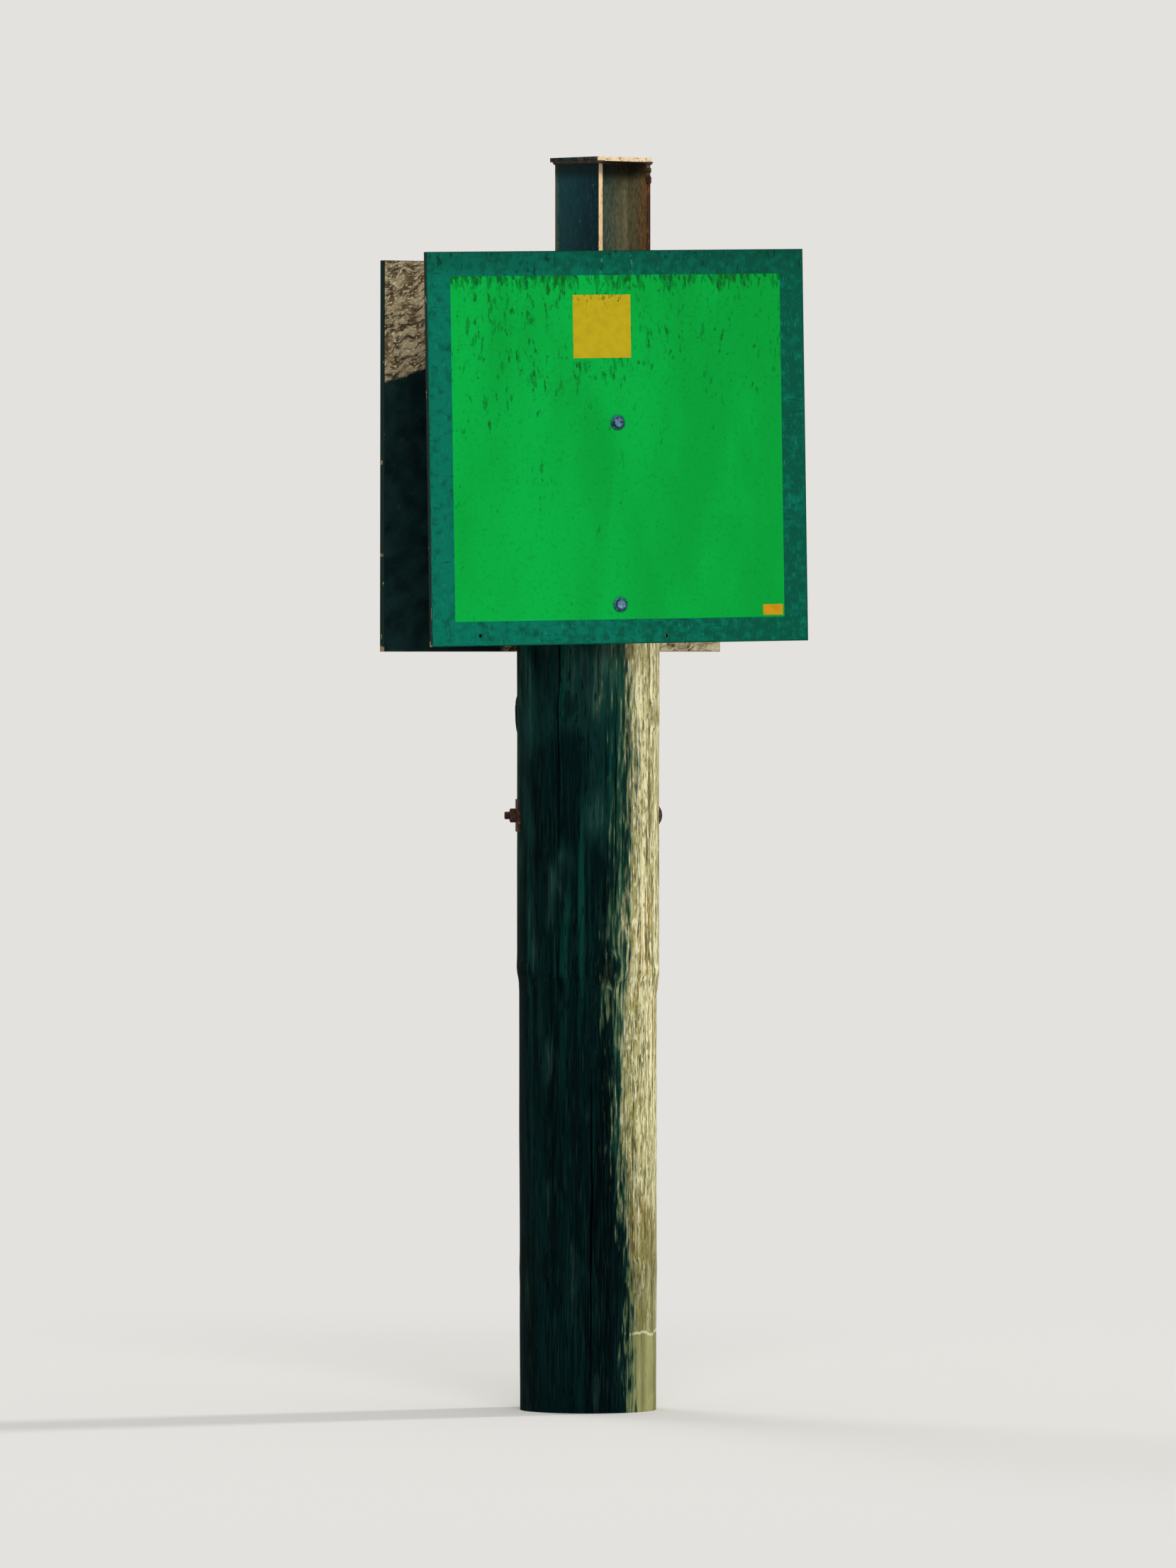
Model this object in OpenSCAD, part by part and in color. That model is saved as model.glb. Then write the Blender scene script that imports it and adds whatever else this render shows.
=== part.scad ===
// Fixed daybeacon: a driven timber pile with two square daymarks, back to back,
// and a short steel post on top.
// Millimetres. Z is up along the pile's axis and the origin is where the pile leaves the bed.
// The front daymark faces -Y. Heights named _h are measured up from the waterline,
// and drops named _drop down from the pile's top or from a board's edge.

/* [Setting] */
// Depth of water over the bed
water_depth = 1000; // [500:50:2500]

/* [Pile] */
// Height of the pile's top
pile_top_h = 2523; // [2300:1:2900]
// Radius of the pile where it leaves the bed
foot_r = 159; // [150:0.5:164]
// Radius of the pile at its top
top_r = 168; // [164:0.5:178]
// Growth in radius at the big whorl
whorl_step = 5; // [1:0.5:8]
// Height of the big whorl
whorl_h = 1021; // [900:1:1150]
// Half the length of a whorl's swelling
whorl_run = 42; // [25:1:60]
// How far a trimmed knot stands out of the trunk
knot_out = 4; // [2:0.5:6]
// Bevel round the pile's top edge
top_bevel = 6; // [2:0.5:10]

/* [Flats on the pile] */
// Depth of the flat under the batten
front_dap = 10; // [6:0.5:20]
// Depth of the flat under the rear board
rear_dap = 7; // [4:0.5:14]
// Room below the piece that sits on a flat
dap_room = 8; // [2:1:20]

/* [Batten] */
// Width of the batten
batten_w = 140; // [90:1:180]
// Thickness of the batten
batten_t = 64; // [38:1:90]
// Length of the batten
batten_l = 660; // [620:5:680]
// Batten's upper end below the pile's top
batten_drop = 33; // [20:1:60]
// Bevel along the batten's edges
batten_ease = 4; // [1:0.5:8]

/* [Daymarks] */
// Side of the square boards
board_w = 914; // [860:1:960]
// Thickness of the boards
board_t = 19; // [12:1:25]
// Front board's middle below the pile's top
front_drop = 270; // [250:1:290]
// Rear board's middle below the pile's top
rear_drop = 290; // [270:1:310]
// Turn of the front board in its own plane
front_roll = 0.9; // [0:0.1:2]
// Turn of the rear board in its own plane
rear_roll = 0.1; // [0:0.1:2]
// Turn of the rear board about the pile, from straight back
rear_turn = 13.5; // [8:0.5:20]
// Diameter of the old holes near the front board's lower edge
old_hole_d = 8; // [4:0.5:12]

/* [Films on the faces] */
// Thickness of each film
film_t = 0.5; // [0.3:0.1:1]
// Width of the dark border
border_w = 57; // [40:1:80]
// Width of the yellow square
square_w = 140; // [120:1:200]
// Height of the yellow square
square_l = 147; // [120:1:200]
// Middle of the yellow square below the board's top
square_drop = 176; // [165:1:260]
// Middle of the yellow square to the left of the board's middle
square_shift = 35; // [0:1:60]
// Width of the blank label
sticker_w = 48; // [40:1:70]
// Height of the blank label
sticker_l = 25; // [20:1:40]
// Label's middle in from the board's right edge
sticker_in = 85; // [60:1:120]
// Label's middle above the board's lower edge
sticker_up = 74; // [72:1:120]

/* [Lag screws] */
// Diameter of the lag screws
screw_d = 12.7; // [9.5:0.1:16]
// Length under the head of the front screws
front_screw_l = 203; // [170:1:230]
// Length under the head of the rear screws
rear_screw_l = 152; // [110:1:180]
// Length under the head of the base plate's screws
base_screw_l = 100; // [70:1:150]
// Upper screws above the board's middle
screw_rise = 57; // [30:1:90]
// Upper screws above the lower ones
screw_gap = 423; // [380:1:430]
// Outer diameter of the round washers
washer_d = 35; // [30:0.5:44]
// Thickness of the round washers
washer_t = 2.8; // [2:0.1:4]
// Radial room round a screw in boards, washers and plate
screw_room = 0.8; // [0.4:0.1:1.5]
// Radial room round a screw or bolt in the timber
pilot_fit = 0.2; // [0.1:0.05:0.4]

/* [Side bolt] */
// Bolt below the pile's top
side_drop = 1130; // [1010:1:1250]
// Turn of the bolt about the pile, from +X to its domed head
side_turn = -12; // [-30:1:10]
// Diameter of the bolt
side_d = 19; // [16:0.1:25]
// Diameter of the domed head
dome_d = 51; // [44:1:60]
// Height of the domed head
dome_l = 11; // [8:0.5:14]
// Depth of the flat spot under the domed head
dome_spot = 3; // [2.5:0.1:6]
// Side of the square washer
plate_washer_w = 76; // [64:1:80]
// Thickness of the square washer
plate_washer_t = 6; // [4:0.5:10]
// Depth of the flat under the square washer
washer_dap = 5; // [4.8:0.1:10]
// Length of bolt past the nut
bolt_end = 12; // [4:1:25]

/* [Post on top] */
// Height of the post above the pile's top, both plates included
post_l = 410; // [330:1:480]
// Depth of the section, flange face to flange face
section_d = 162; // [152:1:168]
// Width of the flanges
section_w = 154; // [146:1:160]
// Thickness of the flanges
flange_t = 11.6; // [9:0.1:14]
// Thickness of the web
web_t = 8.1; // [6:0.1:11]
// Radius between web and flange
root_r = 10; // [6:0.5:14]
// Post's middle beside the pile's axis, along +X
post_shift = 36; // [0:1:36]
// Turn of the post about its own axis
post_turn = -65; // [-75:1:-55]
// Side of the cap plate
cap_w = 168; // [167:1:190]
// Cap plate's middle off the post's middle, along the flanges' width
cap_shift_x = -5; // [-6:0.5:6]
// Cap plate's middle off the post's middle, along the section's depth
cap_shift_y = -2; // [-2.5:0.5:2.5]
// Thickness of the cap plate
cap_t = 10; // [6:0.5:16]
// Side of the base plate
base_w = 190; // [176:1:195]
// Thickness of the base plate
base_t = 12; // [8:0.5:16]
// Base screws to each side of the web
base_screw_x = 44; // [36:1:52]
// Base screws to each side of the post's middle, along the web
base_screw_y = 36; // [25:1:45]

/* [Hidden] */

// Colours of the finishes
treated_timber = "#6f6f4e";
bare_plywood = "#8a7358";
border_green = "#1d5a52";
field_green = "#27a06c";
signal_yellow = "#e3bb2c";
galvanised = "#8c979a";
painted_steel = "#41595c";
rusty_iron = "#4a3a30";

// Levels above the bed
pile_l = water_depth + pile_top_h;
whorl_z = water_depth + whorl_h;
side_z = pile_l - side_drop;
batten_z = pile_l - batten_drop - batten_l;
front_z = pile_l - front_drop;
rear_z = pile_l - rear_drop;

// Distances of the seats from the pile's axis
front_seat = top_r - front_dap;
rear_seat = top_r - rear_dap;
rear_bearing = 180 + rear_turn;
face_t = board_t + film_t;

// Hexagon heads and nuts, as shares of the bolt's diameter
head_across = 1.5;
head_share = 0.68;
nut_share = 0.86;
// Length of a lag screw's point, as a share of its diameter
point_share = 0.9;
// Extra length of a cutting tool past the face that it starts from
over = 1;
// Sawn face and root of a knot, as shares of its half width
knot_flat = 0.8;
knot_root = 1.3;

// Whorls along the trunk: height, swelling in radius
WHORLS = [[-560, 1.5], [330, 1], [whorl_h, 1.5], [1640, 1], [2240, 1.5]];

// Trimmed knots: which whorl, bearing from +X, height from the whorl, half of the width
KNOTS = [
    [0, -68, 12, 34], [0, 22, -10, 30], [0, 141, 6, 36], [0, 236, -16, 28],
    [1, -148, 10, 28], [1, -62, -12, 34], [1, 61, 8, 30], [1, 128, -6, 34],
    [2, -169, -7, 38], [2, -88, 12, 36], [2, -33, -14, 30], [2, 38, 10, 40], [2, 112, -4, 34],
    [3, -122, 12, 30], [3, -38, -8, 34], [3, 42, 14, 32], [3, 152, -10, 36],
    [4, -22, 10, 30], [4, 30, -12, 34], [4, 166, 4, 32]];

// Drying checks: bearing from +X, height of the lower end, length, width, depth
CHECKS = [
    [-158, 250, 900, 4, 26], [-131, 1150, 1240, 5, 34], [-104, 60, 820, 4, 24],
    [-84, 1090, 640, 4, 22], [-66, 280, 700, 3.5, 20], [-47, 1080, 860, 6, 36],
    [-33, -40, 980, 5, 30], [-19, 1060, 1250, 5, 32], [-6, 240, 720, 4, 24],
    [9, 1220, 1080, 7, 42], [24, -60, 1020, 5, 28], [47, 1070, 760, 4, 26],
    [72, 150, 840, 6, 36], [103, 1080, 620, 5, 30], [138, -30, 990, 5, 32],
    [165, 1180, 1130, 6, 38]];
// Turn of the grain about the trunk, degrees for each metre of height
grain_turn = 1.6;
// How far a check's cutting tool stands out of the trunk, at its middle and at its tips
tool_out = 40;
tip_out = 1.5;

// Places of the old holes on the front board: right of its middle, above its lower edge
OLD_HOLES = [[111, 17], [-340, 24]];

// Places of the base screws beside the post's middle
BASE_SCREWS = [for (y = [-1, 1], x = [-1, 1]) [x * base_screw_x, y * base_screw_y]];

$fn = 64;

// Radius of the trunk at a level above the bed, whorls left aside
function trunk_r(z) = foot_r + (top_r - foot_r - whorl_step) * z / pile_l
    + (z > whorl_z ? whorl_step : 0);

// Point at a radius, bearing and level
function polar(r, bearing, z) = [r * cos(bearing), r * sin(bearing), z];

// Half of the trunk's outline, from the foot up
function trunk_outline() = concat(
    [[0, 0], [foot_r, 0]],
    [for (w = WHORLS, side = [-1, 0, 1])
        let (z = water_depth + w[0] + side * whorl_run)
        [trunk_r(z) + (side == 0 ? w[1] : 0), z]],
    [[top_r, pile_l - top_bevel], [top_r - top_bevel, pile_l], [0, pile_l]]);

// Puts a flat piece on the pile: x right, y up and z away from the pile, as its face is seen
module on_seat(bearing, seat, level, roll = 0) {
    rotate([0, 0, bearing]) translate([0, -seat, level]) rotate([90, 0, 0])
        rotate([0, 0, roll]) children();
}
module on_front() { on_seat(0, front_seat + batten_t, front_z, front_roll) children(); }
module on_rear() { on_seat(rear_bearing, rear_seat, rear_z, rear_roll) children(); }
module at_upper_screw() { translate([0, screw_rise, 0]) children(); }
module at_lower_screw() { translate([0, screw_rise - screw_gap, 0]) children(); }
module at_post() { translate([post_shift, 0, pile_l]) rotate([0, 0, post_turn]) children(); }
module at_side_bolt() { rotate([0, 0, side_turn]) translate([0, 0, side_z]) children(); }

// Wedge-shaped cutting tool for one drying check, pointed at both ends
module check_tool(check) {
    z0 = water_depth + check[1];
    z1 = z0 + check[2];
    z = (z0 + z1) / 2;
    r = trunk_r(z);
    half_turn = check[3] / 2 / r * 180 / PI;
    tip_turn = grain_turn * check[2] / 2000;
    ring = [2, 3, 4, 5];
    polyhedron(
        points = [
            polar(trunk_r(z0) + tip_out, check[0] - tip_turn, z0),
            polar(trunk_r(z1) + tip_out, check[0] + tip_turn, z1),
            polar(r + tool_out, check[0], z),
            polar(r, check[0] + half_turn, z),
            polar(r - check[4], check[0], z),
            polar(r, check[0] - half_turn, z)],
        faces = concat(
            [for (i = [0 : 3]) [ring[(i + 1) % 4], ring[i], 1]],
            [for (i = [0 : 3]) [ring[i], ring[(i + 1) % 4], 0]]));
}

// Trimmed knot: a low cone with its tip sawn off flat, rooted in the trunk
module knot_boss(knot) {
    z = water_depth + WHORLS[knot[0]][0] + knot[2];
    rotate([0, 0, knot[1]]) translate([trunk_r(z) - knot[3] / 2, 0, z]) rotate([0, 90, 0])
        cylinder(h = knot[3] / 2 + knot_out, r1 = knot[3] * knot_root, r2 = knot[3] * knot_flat,
            $fn = 32);
}

// Flat from a level up past the pile's top, at a seat's distance from the axis
module dap_tool(bearing, seat, level) {
    rotate([0, 0, bearing]) translate([-top_r, -seat - 2 * top_r, level])
        cube([2 * top_r, 2 * top_r, pile_l - level + over]);
}

// Blind hole for a lag screw, from its head's seat down
module pilot_tool(length) {
    translate([0, 0, -length - pilot_fit])
        cylinder(h = length + pilot_fit, r = screw_d / 2 + pilot_fit);
}

module pile() {
    color(treated_timber) difference() {
        union() {
            rotate_extrude($fn = 96) polygon(trunk_outline());
            for (knot = KNOTS) knot_boss(knot);
        }
        dap_tool(0, front_seat, batten_z - dap_room);
        dap_tool(rear_bearing, rear_seat, rear_z - board_w / 2 - dap_room);
        for (check = CHECKS) check_tool(check);
        on_front() {
            at_upper_screw() translate([0, 0, face_t + washer_t]) pilot_tool(front_screw_l);
            at_lower_screw() translate([0, 0, face_t + washer_t]) pilot_tool(front_screw_l);
        }
        on_rear() {
            at_upper_screw() translate([0, 0, face_t + washer_t]) pilot_tool(rear_screw_l);
            at_lower_screw() translate([0, 0, face_t + washer_t]) pilot_tool(rear_screw_l);
        }
        at_post() for (p = BASE_SCREWS) translate([p[0], p[1], base_t]) pilot_tool(base_screw_l);
        at_side_bolt() side_bolt_tool();
    }
}

// Timber between the pile and the front board
module front_batten() {
    w = batten_w / 2;
    e = batten_ease;
    color(treated_timber) difference() {
        on_seat(0, front_seat, batten_z) translate([0, batten_l, 0]) rotate([90, 0, 0])
            linear_extrude(batten_l) polygon([
                [-w + e, 0], [w - e, 0], [w, e], [w, batten_t - e],
                [w - e, batten_t], [-w + e, batten_t], [-w, batten_t - e], [-w, e]]);
        on_front() screw_holes(batten_t + over);
    }
}

// Clearance holes for both screws of a board, from a depth behind its back to past its face
module screw_holes(depth) {
    for (y = [screw_rise, screw_rise - screw_gap]) translate([0, y, -depth])
        cylinder(h = depth + face_t + over, r = screw_d / 2 + screw_room);
}

module old_holes() {
    for (p = OLD_HOLES) translate([p[0], p[1] - board_w / 2, -over])
        cylinder(h = face_t + 2 * over, d = old_hole_d, $fn = 32);
}

module panel() {
    translate([-board_w / 2, -board_w / 2, 0]) cube([board_w, board_w, board_t]);
}

module border_film() {
    translate([0, 0, board_t]) linear_extrude(film_t) difference() {
        square(board_w, center = true);
        square(board_w - 2 * border_w, center = true);
    }
}

module field_film() {
    translate([0, 0, board_t]) linear_extrude(film_t)
        square(board_w - 2 * border_w, center = true);
}

module square_film() {
    color(signal_yellow) translate([-square_shift, board_w / 2 - square_drop, face_t])
        linear_extrude(film_t) square([square_w, square_l], center = true);
}

module front_board() {
    color(bare_plywood) on_front() difference() {
        panel();
        screw_holes(over);
        old_holes();
    }
}

module rear_board() {
    color(bare_plywood) on_rear() difference() {
        panel();
        screw_holes(over);
    }
}

module front_border() {
    color(border_green) on_front() difference() {
        border_film();
        old_holes();
    }
}

module rear_border() { color(border_green) on_rear() border_film(); }

module front_field() {
    color(field_green) on_front() difference() {
        field_film();
        screw_holes(over);
    }
}

module rear_field() {
    color(field_green) on_rear() difference() {
        field_film();
        screw_holes(over);
    }
}

module front_sticker() {
    color(signal_yellow) on_front()
        translate([board_w / 2 - sticker_in, sticker_up - board_w / 2, face_t])
        linear_extrude(film_t) square([sticker_w, sticker_l], center = true);
}

// Round washer on a board's face
module face_washer() {
    color(galvanised) translate([0, 0, face_t]) difference() {
        cylinder(h = washer_t, d = washer_d);
        translate([0, 0, -over])
            cylinder(h = washer_t + 2 * over, r = screw_d / 2 + screw_room);
    }
}

// Hexagon prism across two flats
module hexagon(across, height) {
    cylinder(h = height, r = across / sqrt(3), $fn = 6);
}

// Lag screw with the underside of its head at z = 0
module lag_screw(length) {
    point = screw_d * point_share;
    color(galvanised) {
        hexagon(screw_d * head_across, screw_d * head_share);
        translate([0, 0, -length + point]) cylinder(h = length - point, d = screw_d);
        translate([0, 0, -length]) cylinder(h = point, d1 = screw_d / 5, d2 = screw_d);
    }
}

module board_screw(length) { translate([0, 0, face_t + washer_t]) lag_screw(length); }

// Holes through the pile for the side bolt, with the flats under its head and washer
module side_bolt_tool() {
    r = trunk_r(side_z);
    rotate([0, 90, 0]) translate([0, 0, -2 * r])
        cylinder(h = 4 * r, r = side_d / 2 + pilot_fit);
    translate([r - dome_spot, 0, 0]) rotate([0, 90, 0])
        cylinder(h = r, d = dome_d + 4 * pilot_fit);
    translate([-2 * r + washer_dap, -r / 2, -plate_washer_w / 2 - pilot_fit])
        cube([r, r, plate_washer_w + 2 * pilot_fit]);
}

// Timber bolt with a domed head; its threaded end passes the nut
module side_bolt() {
    r = trunk_r(side_z);
    dome_r = (pow(dome_d / 2, 2) + pow(dome_l, 2)) / (2 * dome_l);
    shank = 2 * r - dome_spot - washer_dap + plate_washer_t + side_d * nut_share + bolt_end;
    color(rusty_iron) at_side_bolt() translate([r - dome_spot, 0, 0]) rotate([0, 90, 0]) {
        intersection() {
            translate([0, 0, dome_l - dome_r]) sphere(r = dome_r);
            cylinder(h = dome_l + over, d = dome_d + over);
        }
        translate([0, 0, -shank]) cylinder(h = shank, d = side_d);
    }
}

// Square washer under the side bolt's nut
module side_washer() {
    r = trunk_r(side_z) - washer_dap;
    color(rusty_iron) at_side_bolt() translate([-r, 0, 0]) rotate([0, -90, 0]) difference() {
        translate([-plate_washer_w / 2, -plate_washer_w / 2, 0])
            cube([plate_washer_w, plate_washer_w, plate_washer_t]);
        translate([0, 0, -over])
            cylinder(h = plate_washer_t + 2 * over, r = side_d / 2 + screw_room);
    }
}

module side_nut() {
    r = trunk_r(side_z) - washer_dap + plate_washer_t;
    color(rusty_iron) at_side_bolt() translate([-r, 0, 0]) rotate([0, -90, 0]) difference() {
        hexagon(side_d * head_across, side_d * nut_share);
        translate([0, 0, -over])
            cylinder(h = side_d * nut_share + 2 * over, r = side_d / 2 + pilot_fit);
    }
}

// Steel plate that carries the post
module base_plate() {
    color(painted_steel) at_post() difference() {
        translate([-base_w / 2, -base_w / 2, 0]) cube([base_w, base_w, base_t]);
        for (p = BASE_SCREWS) translate([p[0], p[1], -over])
            cylinder(h = base_t + 2 * over, r = screw_d / 2 + screw_room);
    }
}

module base_screw(i) {
    p = BASE_SCREWS[i - 1];
    at_post() translate([p[0], p[1], base_t]) lag_screw(base_screw_l);
}

// Outline of the wide-flange section, its flanges facing -Y and +Y
module section_outline() {
    inner = section_d / 2 - flange_t;
    for (side = [-1, 1]) translate([-section_w / 2, side * (inner + flange_t / 2) - flange_t / 2])
        square([section_w, flange_t]);
    translate([-web_t / 2, -inner]) square([web_t, 2 * inner]);
    for (x = [-1, 1], y = [-1, 1]) scale([x, y]) translate([web_t / 2, inner - root_r])
        difference() {
            square(root_r);
            translate([root_r, 0]) circle(root_r);
        }
}

module stub_post() {
    color(painted_steel) at_post() translate([0, 0, base_t])
        linear_extrude(post_l - base_t - cap_t) section_outline();
}

module cap_plate() {
    color(painted_steel) at_post()
        translate([cap_shift_x - cap_w / 2, cap_shift_y - cap_w / 2, post_l - cap_t])
        cube([cap_w, cap_w, cap_t]);
}

pile();
front_batten();
front_board();
front_border();
front_field();
on_front() square_film();  // front_square
front_sticker();
on_front() at_upper_screw() face_washer();  // front_washer_upper
on_front() at_lower_screw() face_washer();  // front_washer_lower
on_front() at_upper_screw() board_screw(front_screw_l);  // front_screw_upper
on_front() at_lower_screw() board_screw(front_screw_l);  // front_screw_lower
rear_board();
rear_border();
rear_field();
on_rear() square_film();  // rear_square
on_rear() at_upper_screw() face_washer();  // rear_washer_upper
on_rear() at_lower_screw() face_washer();  // rear_washer_lower
on_rear() at_upper_screw() board_screw(rear_screw_l);  // rear_screw_upper
on_rear() at_lower_screw() board_screw(rear_screw_l);  // rear_screw_lower
base_plate();
for (i = [1 : 4]) base_screw(i);
stub_post();
cap_plate();
side_bolt();
side_washer();
side_nut();
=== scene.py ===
"""Looks of a fixed daybeacon: a driven timber pile with two square daymarks and a steel post on top."""

import math
from types import SimpleNamespace

import bpy
import numpy as np
from mathutils import Matrix, Vector, noise

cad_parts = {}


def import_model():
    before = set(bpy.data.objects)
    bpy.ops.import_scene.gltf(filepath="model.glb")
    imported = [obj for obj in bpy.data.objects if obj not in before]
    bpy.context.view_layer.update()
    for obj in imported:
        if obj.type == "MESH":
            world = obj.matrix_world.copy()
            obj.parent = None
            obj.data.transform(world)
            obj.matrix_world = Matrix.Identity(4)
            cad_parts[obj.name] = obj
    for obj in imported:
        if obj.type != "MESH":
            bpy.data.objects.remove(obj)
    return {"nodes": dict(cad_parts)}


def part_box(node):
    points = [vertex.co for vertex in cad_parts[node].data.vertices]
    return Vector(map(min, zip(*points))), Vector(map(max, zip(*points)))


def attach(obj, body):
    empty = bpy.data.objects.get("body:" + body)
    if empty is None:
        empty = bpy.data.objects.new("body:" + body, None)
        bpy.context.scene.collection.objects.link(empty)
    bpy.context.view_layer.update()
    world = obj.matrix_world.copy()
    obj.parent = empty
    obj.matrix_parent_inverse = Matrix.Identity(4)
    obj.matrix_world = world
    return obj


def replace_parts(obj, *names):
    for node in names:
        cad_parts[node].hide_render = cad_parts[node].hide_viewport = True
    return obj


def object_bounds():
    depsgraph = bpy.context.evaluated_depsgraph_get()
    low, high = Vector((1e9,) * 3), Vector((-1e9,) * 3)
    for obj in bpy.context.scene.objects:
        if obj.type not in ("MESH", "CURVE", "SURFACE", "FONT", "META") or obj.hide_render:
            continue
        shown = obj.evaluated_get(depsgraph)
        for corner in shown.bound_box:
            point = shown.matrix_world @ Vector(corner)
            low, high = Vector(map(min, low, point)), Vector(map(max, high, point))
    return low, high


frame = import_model()
cad_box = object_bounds()


def middle_of(node):
    """Middle of a CAD node's box."""
    return sum(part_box(node), Vector()) / 2


def heading(bearing, rise=0.0):
    """Direction at a bearing from +X and a height, in degrees."""
    a, e = math.radians(bearing), math.radians(rise)
    return Vector((math.cos(a) * math.cos(e), math.sin(a) * math.cos(e), math.sin(e)))


def axes_of(node, out):
    """Right, up and outward directions of a flat piece that faces about along out."""
    polygons = frame["nodes"][node].data.polygons
    up = max(polygons, key=lambda face: face.normal.z).normal.copy()
    outward = max(polygons, key=lambda face: face.normal.dot(Vector(out))).normal.copy()
    return Matrix((up.cross(outward), up, outward)).transposed()


# Levels, in metres above the bed
WATERLINE = 1.0
PILE_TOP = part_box("pile")[1].z
SIDE_BOLT_Z = middle_of("side_bolt").z

# Middles and own axes of the boards and the post; the base plate is turned by POST_TURN
POST_TURN = 25.0
FRONT_MIDDLE = middle_of("front_board")
REAR_MIDDLE = middle_of("rear_board")
POST_MIDDLE = middle_of("stub_post")
FRONT_AXES = axes_of("front_square", (0, -1, 0))
REAR_AXES = axes_of("rear_square", (0, 1, 0))
POST_AXES = axes_of("cap_plate", heading(POST_TURN))

# Timber pile, as in the solids
FOOT_R = 0.159
TOP_R = 0.168
WHORL_STEP = 0.005
TOP_BEVEL = 0.006
WHORL_RUN = 0.042
BIG_WHORL = 2
# Whorls: height above the waterline, swelling
WHORLS = [(-0.560, 0.0015), (0.330, 0.001), (1.021, 0.0015), (1.640, 0.001), (2.240, 0.0015)]
# Trimmed knots: which whorl, bearing from +X, height from the whorl, half of the width
KNOTS = [
    (0, -68, 0.012, 0.034), (0, 22, -0.010, 0.030), (0, 141, 0.006, 0.036), (0, 236, -0.016, 0.028),
    (1, -148, 0.010, 0.028), (1, -62, -0.012, 0.034), (1, 61, 0.008, 0.030), (1, 128, -0.006, 0.034),
    (2, -169, -0.007, 0.038), (2, -88, 0.012, 0.036), (2, -33, -0.014, 0.030), (2, 38, 0.010, 0.040),
    (2, 112, -0.004, 0.034), (3, -122, 0.012, 0.030), (3, -38, -0.008, 0.034), (3, 42, 0.014, 0.032),
    (3, 152, -0.010, 0.036), (4, -22, 0.010, 0.030), (4, 30, -0.012, 0.034), (4, 166, 0.004, 0.032)]
# Knots in the skin: how far they stand out, the shoulder's two ends where 1 is a knot's middle, its
# reach in shares of its half width, and its squash along the trunk
KNOT_OUT = 0.004
KNOT_SHOULDER = (0.28, 0.48)
KNOT_REACH = 1.5
KNOT_SQUASH = 0.8
# Drying checks: bearing from +X, height of the lower end above the waterline, length, width, depth
CHECKS = [
    (-158, 0.250, 0.900, 0.0040, 0.026), (-131, 1.150, 1.240, 0.0050, 0.034),
    (-104, 0.060, 0.820, 0.0040, 0.024), (-84, 1.090, 0.640, 0.0040, 0.022),
    (-66, 0.280, 0.700, 0.0035, 0.020), (-47, 1.080, 0.860, 0.0060, 0.036),
    (-33, -0.040, 0.980, 0.0050, 0.030), (-19, 1.060, 1.250, 0.0050, 0.032),
    (-6, 0.240, 0.720, 0.0040, 0.024), (9, 1.220, 1.080, 0.0070, 0.042),
    (24, -0.060, 1.020, 0.0050, 0.028), (47, 1.070, 0.760, 0.0040, 0.026),
    (72, 0.150, 0.840, 0.0060, 0.036), (103, 1.080, 0.620, 0.0050, 0.030),
    (138, -0.030, 0.990, 0.0050, 0.032), (165, 1.180, 1.130, 0.0060, 0.038)]
# The grain turns by this many degrees in each metre
GRAIN_TURN = 1.6

# Flats on the pile: bearing from +X, distance from the axis, lower end above the bed; and the
# widest turn away from a flat's middle that it can reach, in radians
FRONT_FLAT = (-90.0, 0.158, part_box("front_batten")[0].z - 0.008)
REAR_FLAT = (103.5, 0.161, REAR_MIDDLE.z - 0.465)
FLAT_REACH = 1.2

# The pile's skin: rings below and above the water and at each whorl, how far those reach from the
# whorl, columns round it, the gap between two rings at a shoulder, and the gap in degrees between a
# check's middle and the next plain column
RINGS_BELOW = 27
RINGS_ABOVE = 210
RINGS_AT_WHORL = 11
AROUND_WHORL = 0.045
COLUMNS = 180
SHOULDER_GAP = 0.0002
CLEAR_OF_CHECK = 3.0
# Checks in the skin: columns across one in shares of its half width, how far it wanders sideways,
# half of its opening and its depth in shares of the solid's, its least half width, and the power by
# which it opens from its ends
ACROSS_CHECK = (-1.7, -1.0, -0.5, 0.0, 0.5, 1.0, 1.7)
CHECK_WANDER = 0.0035
CHECK_HALF = 0.62
CHECK_DEEP = 0.8
CHECK_LEAST = 0.0005
CHECK_TAPER = 0.6
# Hollows and ridges of the trunk: their height, and how many there are about in a metre across the
# grain and along it
HOLLOWS = (0.0016, 9, 1.3)
RIDGES = (0.0011, 75, 4.5)

# Side bolt: its domed head, the flats under the head and the washer, its thread and its rust pits
SIDE_BEARING = -12.0
SIDE_D = 0.019
DOME_D = 0.051
DOME_H = 0.011
DOME_SPOT = 0.003
DOME_CLEAR = 0.002
WASHER_FLAT = 0.005
WASHER_HALF = 0.0382
SIDE_PITCH = 0.0025
SIDE_THREAD = 0.062
THREAD_DEEP = 0.0013
PITS = 0.0009

# Points round a screw or nut, a washer and the bolt
SCREW_STEPS = 48
WASHER_STEPS = 56
BOLT_STEPS = 40

# Board, its films and its screws: the lag thread's pitch, its root in shares of the width and its
# reach in shares of the shank; a head's width and height in shares of the bolt's, and its lean
BOARD_HALF = 0.457
BOARD_T = 0.019
BORDER_W = 0.057
SCREW_D = 0.0127
LAG_PITCH = 0.0042
LAG_ROOT = 0.78
LAG_THREADED = 0.55
WASHER_D = 0.035
WASHER_T = 0.0028
OVER_FLATS = 1.5
HEAD_SHARE = 0.68
HEAD_LEAN = math.tan(math.radians(30))

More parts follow.
